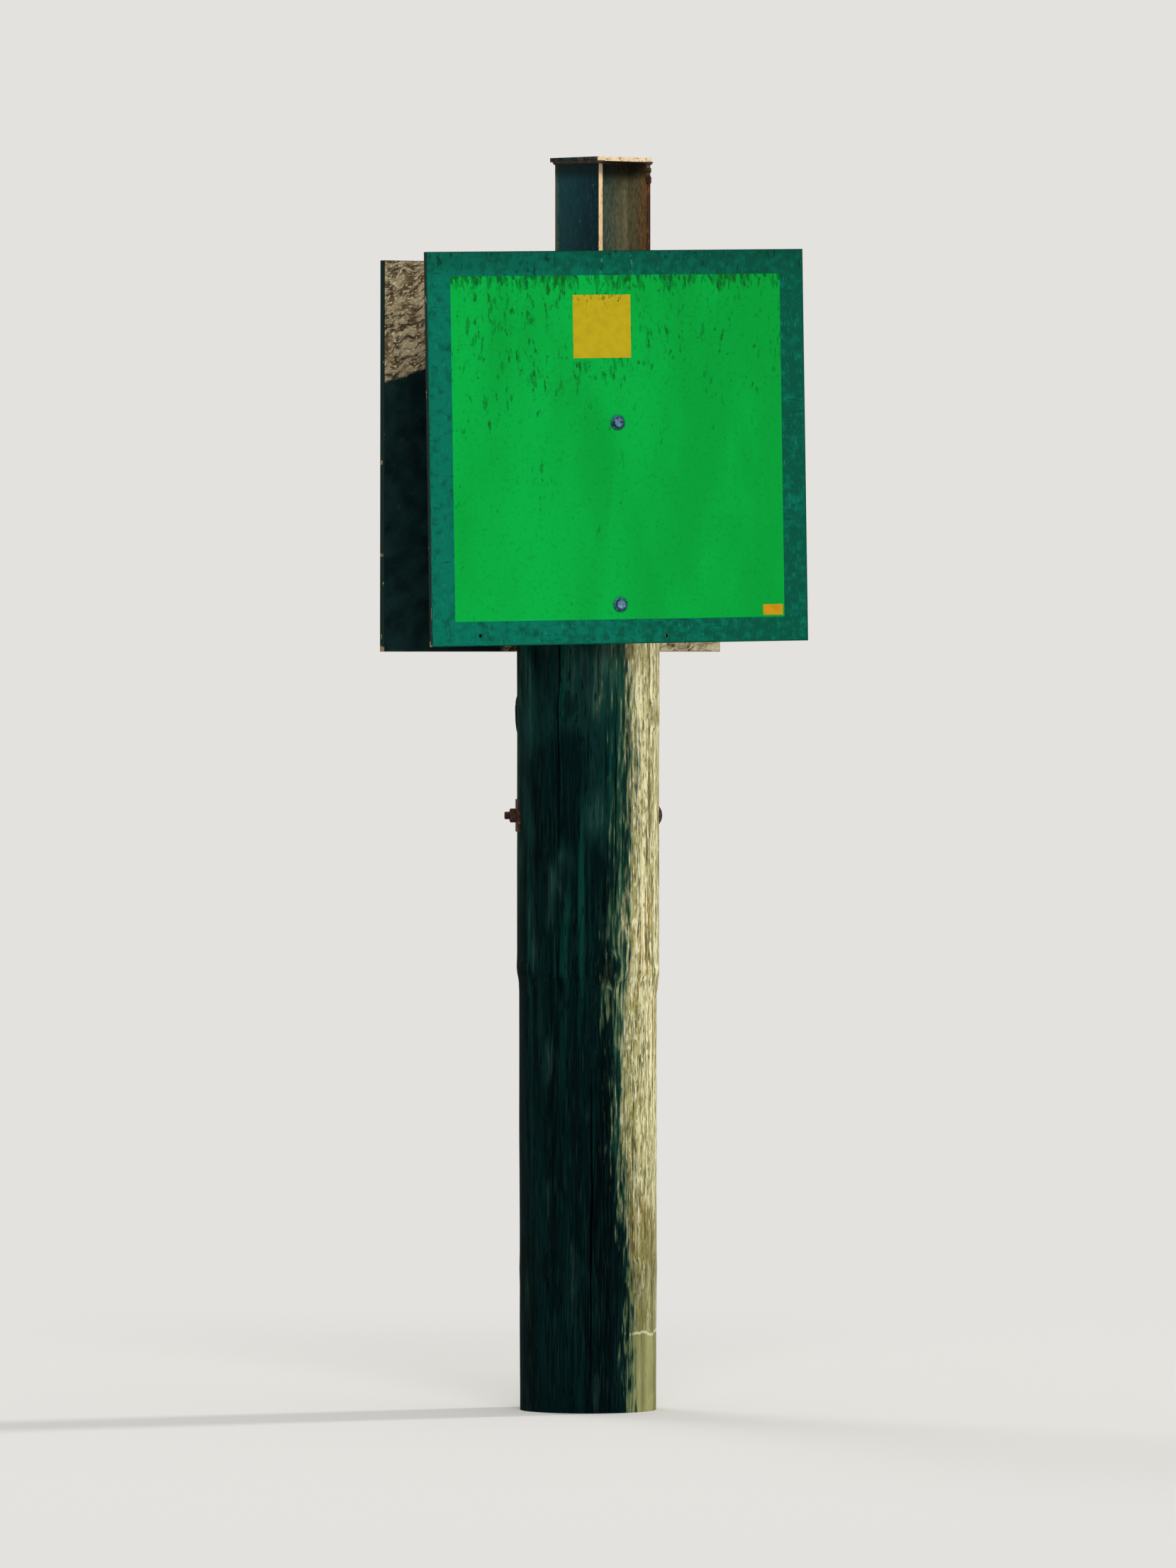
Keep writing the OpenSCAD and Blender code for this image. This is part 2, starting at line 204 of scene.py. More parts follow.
# Steel section, its welds and the lumps of rust: the weld's leg, steps and ripples, how far it
# swells in its ripples and at random, and the share that is left of it at its two ends
SECTION_D = 0.162
SECTION_W = 0.154
FLANGE_T = 0.0116
WEB_T = 0.0081
WELD_LEG = 0.0065
WELD_STEP = 0.0022
WELD_RIPPLE = 0.0045
WELD_WAVE = 0.10
WELD_UNEVEN = 0.12
WELD_END = 0.45
LUMP_RINGS = 16
LUMP_SPOKES = 24
LUMP_UNEVEN = 0.45

# Finish of the pile: the bearing from +X that its pale half faces, in degrees, a half that is
# bleached and also painted sunlit, and heights above the water, in millimetres: the top of the bare
# skin, the widest part of the pale side, the tan blots on it and the tide's line
SUNNY_BEARING = 17.0
UNDER_BOARDS = 1800.0
WIDE_LEVEL = 900.0
TAN_LEVELS = (390.0, 930.0)
TIDE_LEVEL = 206.0
# Patterns along the pile's grain: how far drawn out, the pick, the width in millimetres, the detail
GRAIN = {
    "broad": (1 / 30, 1, 34, 4), "fine": (1 / 30, 2, 9, 4), "fibre": (1 / 30, 3, 3.2, 5),
    "run": (1 / 30, 6, 18, 2), "split": (1 / 30, 9, 16, 2), "fleck": (1 / 10, 4, 6, 4),
    "crack": (1 / 10, 7, 4, 5), "grit": (1 / 5, 8, 10, 5), "short": (0.28, 10, 6, 3),
    "blot": (1 / 3, 5, 80, 3)}
# Finish of the boards: how far over its limit a mildew speck is full, places of the pale washes
# on a top border, in millimetres from the board's middle; the lean of the back's grain, in degrees;
# the slope of the edge of the pile's painted shadow on the back and that edge's height at the middle
RIM = 0.09
WASHES = (-35.0, 41.0)
GRAIN_LEAN = 24.0
SHADOW_SLANT = 0.30
SHADOW_EDGE = 310.0
# Finish of the post: half of its height, and the cap's edge on its open side, in millimetres
POST_HALF = (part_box("stub_post")[1].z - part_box("stub_post")[0].z) * 500
CAP_EDGE = -79.0

# Camera: where the photograph was taken from
CAMERA_TURN = -16.8
CAMERA_FAR = 29.8
CAMERA_UP = 1.9
LENS = 292.0

# Background, floor and even light
BACKGROUND = "#e4e2de"
FLOOR_COLOUR = "#dddbd7"
FLOOR_RINGS = (0.3, 1.0, 2.0, 4.0, 8.0, 14.0)
FLOOR_STEPS = 96
WORLD_LIGHT = 0.55

# Settings that many nodes share: soft ends, a blend of colours, a pattern picked by its W, and sums
SOFT = {"interpolation_type": "SMOOTHSTEP"}
BLEND = {"data_type": "RGBA"}
PICKED = {"noise_dimensions": "4D"}
PLUS = {"operation": "ADD"}
MINUS = {"operation": "SUBTRACT"}
TIMES = {"operation": "MULTIPLY"}
TIMES_PLUS = {"operation": "MULTIPLY_ADD"}
UNSIGNED = {"operation": "ABSOLUTE"}


def linear(code):
    """Turns an sRGB hex colour into the linear colour that shaders take."""
    parts = [int(code[i:i + 2], 16) / 255 for i in (1, 3, 5)]
    return [p / 12.92 if p <= 0.04045 else ((p + 0.055) / 1.055) ** 2.4 for p in parts] + [1.0]


def add(tree, kind, inputs=(), **settings):
    """Adds a shader node with its settings. Inputs are listed in the order of its sockets or by
    their names, and each is a number, a hex colour, a vector, a node or a socket. A noise takes its
    point, its pick, its scale, its detail and sometimes its roughness."""
    node = tree.nodes.new("ShaderNode" + kind)
    for name, value in settings.items():
        setattr(node, name, value)
    sockets = [socket for socket in node.inputs if socket.enabled]
    places = {socket.name: socket for socket in sockets}
    for key, value in inputs.items() if isinstance(inputs, dict) else enumerate(inputs):
        socket = sockets[key] if isinstance(key, int) else places[key]
        if isinstance(value, bpy.types.Node):
            value = next(output for output in value.outputs if output.enabled)
        if isinstance(value, bpy.types.NodeSocket):
            tree.links.new(value, socket)
        else:
            socket.default_value = linear(value) if isinstance(value, str) else value
    return node


def new_material(name, middle, axes=None, **values):
    """Starts a material, with constant values on its shader's own sockets. Gives the material, its
    tree and the place on the piece: from a middle, along the piece's own axes, in millimetres."""
    material = bpy.data.materials.new(name)
    material.use_nodes = True
    tree = material.node_tree
    for key, value in values.items():
        tree.nodes["Principled BSDF"].inputs[key.replace("_", " ")].default_value = value
    turn = (axes or Matrix.Identity(3)).to_euler("XYZ")
    place = add(tree, "TexCoord").outputs["Object"]
    point = add(tree, "Mapping", [place, middle, turn, (0.001, 0.001, 0.001)], vector_type="TEXTURE")
    return material, tree, point


def dress(material, colour, depth, relief, *ridges, roughness=None):
    """Links colour, relief and roughness to the material's shader. The relief is a pattern with
    others added to it, each times its weight, and depth is in metres."""
    tree = material.node_tree
    shader = tree.nodes["Principled BSDF"]
    for pattern, weight in ridges:
        relief = add(tree, "Math", [pattern, weight, relief], **TIMES_PLUS)
    bump = add(tree, "Bump", {"Height": relief, "Distance": depth, "Strength": 1.0})
    for node, name in ((colour, "Base Color"), (bump, "Normal"), (roughness, "Roughness")):
        if node is not None:
            tree.links.new(next(s for s in node.outputs if s.enabled), shader.inputs[name])
    return material


def coats(tree, colour, *rows):
    """Lays colours over a colour, one after another. A row gives a pattern, the values between which
    the new colour comes in, how far it comes in, the colour, and masks that hold it back."""
    for pattern, start, end, share, shade, *masks in rows:
        tone = add(tree, "MapRange", [pattern, start, end, 0, share], **SOFT)
        for mask in masks:
            tone = add(tree, "Math", [tone, mask], **TIMES)
        colour = add(tree, "Mix", [tone, colour, shade], **BLEND)
    return colour


def distance(tree, value, level):
    """How far a value is from a level, above or below it."""
    away = add(tree, "Math", [value, level], **MINUS)
    return add(tree, "Math", [away], **UNSIGNED)


def square_reach(tree, point):
    """How far a point of a board is from its middle, sideways or upwards, whichever is more."""
    reach = add(tree, "VectorMath", [point], **UNSIGNED)
    reach = add(tree, "SeparateXYZ", [reach]).outputs
    return add(tree, "Math", [reach["X"], reach["Y"]], operation="MAXIMUM")


def mildew(tree, point, width, limit, pick):
    """How far mildew specks, 3 times as long as wide, pass a limit; they cover more where it is low."""
    drawn = add(tree, "VectorMath", [point, (1, 0.36, 1)], **TIMES)
    grown = add(tree, "TexNoise", [drawn, pick, 1 / width, 2.5, 0.6], **PICKED)
    return add(tree, "Math", [grown, limit], **MINUS)


def grain_patterns(tree, point, height):
    """Patterns drawn out along the pile's grain, which turns as it climbs."""
    untwist = add(tree, "Math", [height, -math.radians(GRAIN_TURN) / 1000], **TIMES)
    turned = add(tree, "VectorRotate", {"Vector": point, "Angle": untwist}, rotation_type="Z_AXIS")
    grain = SimpleNamespace()
    for name, (squeeze, pick, width, detail) in GRAIN.items():
        drawn = add(tree, "VectorMath", [turned, (1, 1, squeeze)], **TIMES)
        setattr(grain, name, add(tree, "TexNoise", [drawn, pick, 1 / width, detail], **PICKED))

    # Hairline checks about 1.5 mm wide, broken here and there
    hair = distance(tree, grain.split, 0.5)
    hair = add(tree, "MapRange", [hair, 0.020, 0.006], **SOFT)
    broken = add(tree, "MapRange", [grain.grit, 0.42, 0.56], **SOFT)
    grain.split = add(tree, "Math", [hair, broken], **TIMES)
    return grain


def shaded_algae_film(tree, height, grain):
    """Algae on the dark side, whose near black is also painted shade: black green to teal, lighter in
    long streaks and under the boards.
    """
    sheltered = add(tree, "MapRange", [height, 1100, UNDER_BOARDS, 0, 0.20])
    sheltered = add(tree, "Math", [sheltered, grain.blot], **PLUS)
    upper = add(tree, "MapRange", [height, 500, 1400, 0.15, 1.0], **SOFT)
    close = add(tree, "MapRange", [height, UNDER_BOARDS - 300, UNDER_BOARDS - 60, 0, 0.12], **SOFT)
    close = add(tree, "Math", [grain.blot, close], **PLUS)
    close = add(tree, "Math", [close, grain.fine], **PLUS)
    return coats(tree, "#010a0c",
                 (grain.broad, 0.36, 0.70, 1, "#03191a"),
                 (sheltered, 0.56, 0.78, 1, "#10322e"),
                 (grain.run, 0.52, 0.76, 0.7, "#0d4a3c", upper),
                 (close, 1.17, 1.34, 0.6, "#3d5e52"),
                 (grain.fibre, 0.50, 0.66, 0.45, "#123430"),
                 (grain.fine, 0.54, 0.74, 0.8, "#000607"),
                 (grain.crack, 0.57, 0.66, 0.8, "#000405"))


def sunlit_bleached_wood(tree, height, grain):
    """Cream wood, bleached and also painted sunlit, with olive streaks, tan blots, short flecks and
    hairline checks, yellower at the pile's foot."""
    pale = coats(tree, "#a8a36a", (grain.broad, 0.34, 0.66, 1, "#cdc794"))
    for level in TAN_LEVELS:
        away = distance(tree, height, level)
        near = add(tree, "MapRange", [away, 110, 30, 0, 0.12], **SOFT)
        near = add(tree, "Math", [near, grain.blot], **PLUS)
        pale = coats(tree, pale, (near, 0.52, 0.66, 0.8, "#9c8440"))
    bright = coats(tree, "#ece6c3", (height, 640, 300, 1, "#a89c52"))
    pale = coats(tree, pale,
                 (height, 640, 300, 0.75, "#7b7747"),
                 (grain.fine, 0.50, 0.36, 0.9, "#e6dfb6"),
                 (grain.fine, 0.53, 0.66, 0.6, "#7f7a48"),
                 (grain.fleck, 0.46, 0.34, 0.8, "#e9e3c0"),
                 (grain.fibre, 0.55, 0.66, 0.85, "#5f5a33"),
                 (grain.crack, 0.57, 0.66, 0.9, "#46442a"),
                 (grain.grit, 0.58, 0.70, 0.7, "#625b30"),
                 (grain.run, 0.60, 0.66, 0.5, "#5a5a32"),
                 (grain.short, 0.45, 0.36, 0.7, bright),
                 (grain.short, 0.55, 0.64, 0.75, "#655e33"),
                 (height, 640, 300, 0.4, "#5f5f38"))
    tone = add(tree, "Math", [grain.split, 0.8], **TIMES)
    return add(tree, "Mix", [tone, pale, "#3b3721"], **BLEND)


def sunny_side(tree, point, height, grain, wide):
    """How far the pile is bleached and painted sunlit, and how far it is the green margin beside
    that, where painted sunlight turns to painted shade. The edge is ragged along the grain, and lies
    further round halfway up than at the foot."""
    level = add(tree, "VectorMath", [point, (1, 1, 0)], **TIMES)
    level = add(tree, "VectorMath", [level], operation="NORMALIZE")
    side = add(tree, "VectorMath", [level, heading(SUNNY_BEARING)], operation="DOT_PRODUCT")
    lower = add(tree, "MapRange", [height, 0, 600, -1.23, -1.13], **SOFT)
    side = add(tree, "Math", [side, lower], **PLUS)
    for pattern, weight in ((wide, 0.07), (grain.fine, 0.55), (grain.blot, 0.4), (grain.fleck, 0.5),
                            (grain.crack, 0.4), (grain.grit, 0.4)):
        side = add(tree, "Math", [pattern, weight, side], **TIMES_PLUS)
    reach = add(tree, "MapRange", [height, 250, 900, -0.14, -0.32], **SOFT)
    sunlit_edge_margin = add(tree, "MapRange", [side, reach, 0.02, 0, 0.8], **SOFT)
    return add(tree, "MapRange", [side, -0.10, 0.17], **SOFT), sunlit_edge_margin


def tide_band(tree, colour, height, grain, bleach_and_sunlight, algae_and_shade):
    """Tide band: smooth and khaki in parallel stripes, under a thin line of dried salt."""
    ragged = add(tree, "Math", [grain.broad, 40.0, height], **TIMES_PLUS)
    silt = coats(tree, "#666a40", (grain.broad, 0.40, 0.62, 1, "#969664"))
    silt = add(tree, "Mix", [bleach_and_sunlight, algae_and_shade, silt], **BLEND)
    away = distance(tree, ragged, TIDE_LEVEL)
    return coats(tree, colour,
                 (ragged, TIDE_LEVEL + 4, TIDE_LEVEL - 4, 0.75, silt),
                 (away, 4.5, 1.5, 0.5, "#e4e0ba", bleach_and_sunlight),
                 (ragged, 20, -20, 1, "#16211a"))


def knots_and_checks(tree, colour, grain, bleach_and_sunlight):
    """Knots with faint uneven rings and a dark core, and painted shade inside the checks. Gives the
    colour and the relief of the rings and the core."""
    uneven = add(tree, "Attribute", attribute_name="knot").outputs["Fac"]
    for pattern, weight in ((grain.blot, 0.6), (grain.fleck, 0.5)):
        uneven = add(tree, "Math", [pattern, weight, uneven], **TIMES_PLUS)
    knot_tone = add(tree, "Mix", [bleach_and_sunlight, "#061413", "#8d8252"], **BLEND)
    ring_tone = add(tree, "Mix", [bleach_and_sunlight, "#020a0a", "#5a4f2c"], **BLEND)
    heart = add(tree, "MapRange", [uneven, 1.00, 1.22, 0, 0.5], **SOFT)
    rings = add(tree, "Math", [uneven, 50.0], **TIMES)
    rings = add(tree, "Math", [rings], operation="SINE")
    rings = add(tree, "Math", [rings, heart], **TIMES)
    core = add(tree, "MapRange", [uneven, 1.42, 1.50, 0, 0.6], **SOFT)
    # Painted shade: the insides of the checks are near black
    check = add(tree, "Attribute", attribute_name="check").outputs["Fac"]
    colour = coats(tree, colour,
                   (uneven, 1.00, 1.22, 0.5, knot_tone),
                   (rings, 0.1, 0.6, 0.35, ring_tone),
                   (uneven, 1.42, 1.50, 0.6, "#14140e"),
                   (check, 0.05, 0.55, 1, "#050907"))
    return colour, rings, core


def end_grain(tree, colour, point, grain):
    """End grain on the sawn top: growth rings about 5 mm apart."""
    normal = add(tree, "TexCoord").outputs["Normal"]
    upward = add(tree, "SeparateXYZ", [normal]).outputs["Z"]
    growth = add(tree, "TexWave", {"Vector": point, "Scale": 0.063, "Distortion": 3, "Detail": 2},
                 wave_type="RINGS", rings_direction="Z")
    sawn = add(tree, "Mix", [growth, "#4f4934", "#8b8263"], **BLEND)
    sawn = coats(tree, sawn, (grain.fleck, 0.5, 0.7, 1, "#2c2a20"))
    return coats(tree, colour, (upward, 0.6, 0.9, 1, sawn))


def treated_pine():
    """Round pine, pressure treated and peeled: one side bleached pale by the sun and painted sunlit,
    the rest dark with algae and painted shade; it looks dull and fibrous, streaked along the grain,
    with open drying checks."""
    material, tree, point = new_material("treated_pine", (0, 0, WATERLINE), Roughness=0.88, IOR=1.5,
                                         Specular_IOR_Level=0.02)
    height = add(tree, "SeparateXYZ", [point]).outputs["Z"]
    grain = grain_patterns(tree, point, height)
    wide = add(tree, "MapRange", [distance(tree, height, WIDE_LEVEL), 460, 120], **SOFT)
    # The pale half is bleached wood and painted sunlight, the rest algae and painted shade
    bleach_and_sunlight, sunlit_edge_margin = sunny_side(tree, point, height, grain, wide)

    # Green algae in the margin of painted sunlight, with pale flecks painted as highlights on the grain
    green = coats(tree, "#0c352c", (grain.broad, 0.42, 0.62, 1, "#2c5743"))
    algae_and_shade = add(tree, "Mix", [sunlit_edge_margin, shaded_algae_film(tree, height, grain), green], **BLEND)
    spread = add(tree, "Math", [wide, 0.07, grain.fleck], **TIMES_PLUS)
    dark = coats(tree, algae_and_shade,
                 (grain.grit, 0.54, 0.68, 1, "#788a62", sunlit_edge_margin, sunlit_edge_margin),
                 (spread, 0.54, 0.70, 0.8, "#7f8e66", sunlit_edge_margin))
    colour = add(tree, "Mix", [bleach_and_sunlight, dark, sunlit_bleached_wood(tree, height, grain)], **BLEND)
    colour = tide_band(tree, colour, height, grain, bleach_and_sunlight, algae_and_shade)
    colour, rings, core = knots_and_checks(tree, colour, grain, bleach_and_sunlight)
    colour = end_grain(tree, colour, point, grain)
    return dress(material, colour, 0.0028, grain.fine, (grain.fibre, 0.45), (grain.crack, -0.5),
                 (grain.split, -0.4), (rings, 0.03), (core, -0.3))


def green_sheeting(name, middle, axes, square):
    """Fluorescent green retroreflective sheeting, an embossed plastic film: an even, strong green
    with a dull shine, specked with dark mildew that runs down from its upper edge and from the
    lower edge of the yellow square, whose middle is given in millimetres."""
    material, tree, point = new_material(name, middle, axes, Roughness=0.4, IOR=1.49,
                                         Specular_IOR_Level=0.06)
    parts = add(tree, "SeparateXYZ", [point])
    right, up = parts.outputs["X"], parts.outputs["Y"]
    top = (BOARD_HALF - BORDER_W) * 1000

    # Faded a little towards its left, in long soft bands
    band = add(tree, "VectorMath", [point, (1, 0.3, 1)], **TIMES)
    wash = add(tree, "TexNoise", [band, 1, 1 / 130, 3], **PICKED)
    fade = add(tree, "MapRange", [right, -400, 400, 0.12, -0.12])
    fade = add(tree, "Math", [wash, fade], **PLUS)
    grime = add(tree, "TexNoise", [point, 2, 1 / 8, 4], **PICKED)

    # Mildew: a fringe along the top, runs and specks in the upper half, hardly any below
    patch = add(tree, "TexNoise", [point, 3, 1 / 110, 2], **PICKED)
    column = add(tree, "VectorMath", [point, (1, 0.06, 1)], **TIMES)
    run = add(tree, "TexNoise", [column, 4, 1 / 26, 1], **PICKED)
    limit = add(tree, "MapRange", [up, top + 5, top - 58, 0.440, 0.582], **SOFT)
    lower = add(tree, "MapRange", [up, top - 110, top - 560, 0, 0.10], **SOFT)
    limit = add(tree, "Math", [limit, lower], **PLUS)
    beside = add(tree, "MapRange", [right, -240, 200, -0.014, 0.012], **SOFT)
    limit = add(tree, "Math", [limit, beside], **PLUS)
    under = add(tree, "VectorMath", [point, (square.x, square.y - 26, 0)], **MINUS)
    under = add(tree, "VectorMath", [under, (1 / 80, 1 / 36, 0)], **TIMES)
    under = add(tree, "VectorMath", [under], operation="LENGTH")
    under = add(tree, "MapRange", [under, 1.1, 0.6, 0, 0.05], **SOFT)
    limit = add(tree, "Math", [limit, under], **MINUS)
    limit = add(tree, "Math", [patch, -0.22, limit], **TIMES_PLUS)
    limit = add(tree, "Math", [run, -0.20, limit], **TIMES_PLUS)
    limit = add(tree, "Math", [limit, 0.21], **PLUS)
    faint = mildew(tree, point, 11.0, limit, 5)
    limit = add(tree, "Math", [limit, 0.024], **PLUS)
    strong = mildew(tree, point, 8.0, limit, 6)
    spot = coats(tree, "#005a26", (patch, 0.44, 0.58, 1, "#0c5a18"))
    colour = coats(tree, "#00a037",
                   (fade, 0.3, 0.7, 1, "#00b043"),
                   (grime, 0.50, 0.72, 0.4, "#078234"),
                   (faint, 0.0, RIM, 0.7, "#007a2c"),
                   (strong, 0.0, RIM, 0.85, spot))
    crust = add(tree, "MapRange", [strong, 0.0, RIM], **SOFT)
    return dress(material, colour, 0.0002, grime, (crust, 1.6))


def dark_green_sheeting(name, middle, axes):
    """Dark green retroreflective sheeting round the edge of the board: mottled, with fine scratches
    and a pale wash where water runs over the top."""
    material, tree, point = new_material(name, middle, axes, Roughness=0.48, IOR=1.49,
                                         Specular_IOR_Level=0.06)
    parts = add(tree, "SeparateXYZ", [point])
    right, up = parts.outputs["X"], parts.outputs["Y"]
    top = BOARD_HALF * 1000

    mottle = add(tree, "TexNoise", [point, 1, 1 / 17, 5], **PICKED)
    fade = add(tree, "MapRange", [right, -430, 430, 0.10, -0.10])
    fade = add(tree, "Math", [mottle, fade], **PLUS)
    drawn = add(tree, "VectorMath", [point, (1, 0.16, 1)], **TIMES)
    scratch = add(tree, "TexNoise", [drawn, 2, 1 / 2.6, 2], **PICKED)
    drawn = add(tree, "VectorMath", [point, (0.14, 1, 1)], **TIMES)
    scuff = add(tree, "TexNoise", [drawn, 3, 1 / 4, 2], **PICKED)

    # Darker and specked along the top, and dark at its very edge
    limit = add(tree, "MapRange", [up, top, top - 150, 0.57, 0.72], **SOFT)
    speck = mildew(tree, point, 10, limit, 4)
    edge = square_reach(tree, point)
    edge = add(tree, "Math", [mottle, 8.0, edge], **TIMES_PLUS)
    colour = coats(tree, "#00543f",
                   (fade, 0.34, 0.66, 1, "#00715a"),
                   (scratch, 0.61, 0.70, 0.5, "#1f8f79"),
                   (scuff, 0.62, 0.74, 0.6, "#02382f"),
                   (up, top - 75, top - 20, 0.4, "#024134"),
                   (speck, 0.0, RIM, 0.8, "#02301f"),
                   (edge, top + 0.5, top + 4.0, 0.8, "#03271f"))

    # Two pale washes that cross the top border
    upper = add(tree, "MapRange", [up, top - 75, top - 20], **SOFT)
    patchy = add(tree, "MapRange", [mottle, 0.42, 0.58], **SOFT)
    for place in WASHES:
        away = distance(tree, right, place)
        away = add(tree, "Math", [scratch, 16.0, away], **TIMES_PLUS)
        colour = coats(tree, colour, (away, 13.0, 8.0, 0.45, "#3fae94", patchy, upper))
    return dress(material, colour, 0.0003, mottle, (scratch, 0.5))


def yellow_sheeting(name, middle, axes, base="#c0aa17", worn="#b29b18"):
    """Yellow vinyl film cut with a knife: even and dull, stained at its top and edges."""
    material, tree, point = new_material(name, middle, axes, Roughness=0.45, IOR=1.49,
                                         Specular_IOR_Level=0.08)
    mottle = add(tree, "TexNoise", [point, 1, 1 / 20, 5], **PICKED)
    up = add(tree, "SeparateXYZ", [point]).outputs["Y"]
    limit = add(tree, "MapRange", [up, 74, 10, 0.55, 0.69], **SOFT)
    stain = mildew(tree, point, 5, limit, 2)
    colour = coats(tree, base, (mottle, 0.40, 0.70, 0.7, worn), (stain, 0.0, RIM, 0.75, "#4c4414"))
    return dress(material, colour, 0.0002, mottle)


def bare_plywood(name, middle, axes, shadow_side):
    """Fir plywood left bare: its back is weathered into coarse curly grain, darkened to one side of
    the pile by a damp stain and the pile's painted shadow, paler on the other side by bleaching and
    painted sunlight, and its edge shows the plies where the dark green paint has flaked off."""
    material, tree, point = new_material(name, middle, axes, Roughness=0.88, IOR=1.5,
                                         Specular_IOR_Level=0.08)
    parts = add(tree, "SeparateXYZ", [point])
    right, up, out = (parts.outputs[key] for key in "XYZ")
    sideways = add(tree, "Math", [right, shadow_side], **TIMES)
    half, face = BOARD_HALF * 1000, BOARD_T * 500

    # Curly grain of a peeled veneer: ridges 12 mm wide and about 35 mm long, leaning
    lean = math.radians(GRAIN_LEAN) * shadow_side
    leaning = add(tree, "Mapping", {"Vector": point, "Rotation": (0, 0, lean)})
    drift = add(tree, "TexNoise", [leaning, 1, 1 / 60, 2], **PICKED)
    bent = add(tree, "VectorMath", [drift.outputs["Color"], (30, 60, 0), leaning], **TIMES_PLUS)
    drawn = add(tree, "VectorMath", [bent, (0.34, 1, 1)], **TIMES)
    ridge = add(tree, "TexNoise", [drawn, 2, 1 / 12, 5, 0.68], **PICKED)
    fibre = add(tree, "TexNoise", [drawn, 3, 1 / 3, 2], **PICKED)
    drawn = add(tree, "VectorMath", [bent, (0.45, 1, 1)], **TIMES)
    pit = add(tree, "TexNoise", [drawn, 4, 1 / 8, 4], **PICKED)
    cast = add(tree, "TexNoise", [point, 6, 1 / 45, 3], **PICKED)
    # Paler veneer to the other side of the pile, bleached and also painted sunlit
    dry_and_sunlit = coats(tree, "#ab9e7c", (ridge, 0.42, 0.58, 1, "#ece0bd"))

    # Painted shadow of the pile's top, dark like a damp stain, to one side of the pile and under the
    #     shadow's slanting edge
    slant = add(tree, "Math", [sideways, SHADOW_SLANT, up], **TIMES_PLUS)
    slant = add(tree, "Math", [ridge, 20.0, slant], **TIMES_PLUS)
    beyond = add(tree, "MapRange", [sideways, 120, 150], **SOFT)
    mould_and_shadow = coats(tree, "#05181a", (drift, 0.35, 0.65, 1, "#0f2a29"), (ridge, 0.55, 0.72, 0.5, "#203a38"))

    # Edges: plies 3.8 mm thick, which show where the paint is gone, most of all low down
    plies = add(tree, "Math", [out, 2 * math.pi / 7.6], **TIMES)
    plies = add(tree, "Math", [plies], operation="SINE")
    flake = add(tree, "TexNoise", [point, 5, 1 / 24, 5], **PICKED)
    bare = add(tree, "MapRange", [up, -430, -456, 0, 0.3], **SOFT)
    flake = add(tree, "Math", [flake, bare], **MINUS)
    edge = coats(tree, "#6b5842", (plies, -0.3, 0.3, 1, "#a8957a"), (flake, 0.31, 0.37, 1, "#0a2420"))

    # All of it over a brown veneer; painted shade makes the insides of the old holes near black
    deep = add(tree, "Math", [out], **UNSIGNED)
    reach = square_reach(tree, point)
    colour = coats(tree, "#453722",
                   (ridge, 0.42, 0.58, 1, "#ada07f"),
                   (cast, 0.45, 0.65, 0.5, "#8b7454"),
                   (sideways, -60, -130, 0.8, dry_and_sunlit),
                   (fibre, 0.54, 0.66, 0.8, "#ddd0ae"),
                   (pit, 0.55, 0.68, 0.8, "#3a2f1e"),
                   (slant, SHADOW_EDGE + 15, SHADOW_EDGE + 5, 1, mould_and_shadow, beyond),
                   (deep, face - 0.4, face - 1.4, 1, "#0a0c09"),
                   (reach, half - 1.6, half - 0.6, 1, edge))
    return dress(material, colour, 0.0035, ridge, (fibre, 0.4), (pit, -0.5))


def sawn_pine():
    """Sawn treated pine that has greyed: straight grain along its length, dull and split."""
    material, tree, point = new_material("sawn_treated_pine", (0, 0, WATERLINE), Roughness=0.88, IOR=1.5,
                                         Specular_IOR_Level=0.1)
    grain = add(tree, "VectorMath", [point, (1, 1, 0.02)], **TIMES)
    fine = add(tree, "TexNoise", [grain, 1, 1 / 4.5, 4], **PICKED)
    broad = add(tree, "TexNoise", [grain, 2, 1 / 30, 3], **PICKED)
    colour = coats(tree, "#3b4233", (broad, 0.3, 0.7, 1, "#77704f"), (fine, 0.52, 0.68, 1, "#26281d"))
    return dress(material, colour, 0.0018, fine)


def hot_dip_zinc(name, dull, bright):
    """Steel dipped in hot zinc: a dull grey bloom in patches, tinted blue as a painted reflection of
    the sky, darker where it has worn.
    """
    material, tree, point = new_material(name, (0, 0, 0), Metallic=1.0, Roughness=0.46)
    bloom = add(tree, "TexNoise", [point, 1, 1 / 5, 4], **PICKED)
    dirt = add(tree, "TexNoise", [point, 2, 1 / 10, 3], **PICKED)
    colour = coats(tree, dull, (bloom, 0.35, 0.65, 1, bright), (dirt, 0.54, 0.68, 1, "#20323d"))
    rough = add(tree, "MapRange", [bloom, 0, 1, 0.36, 0.62])
    return dress(material, colour, 0.0003, bloom, roughness=rough)


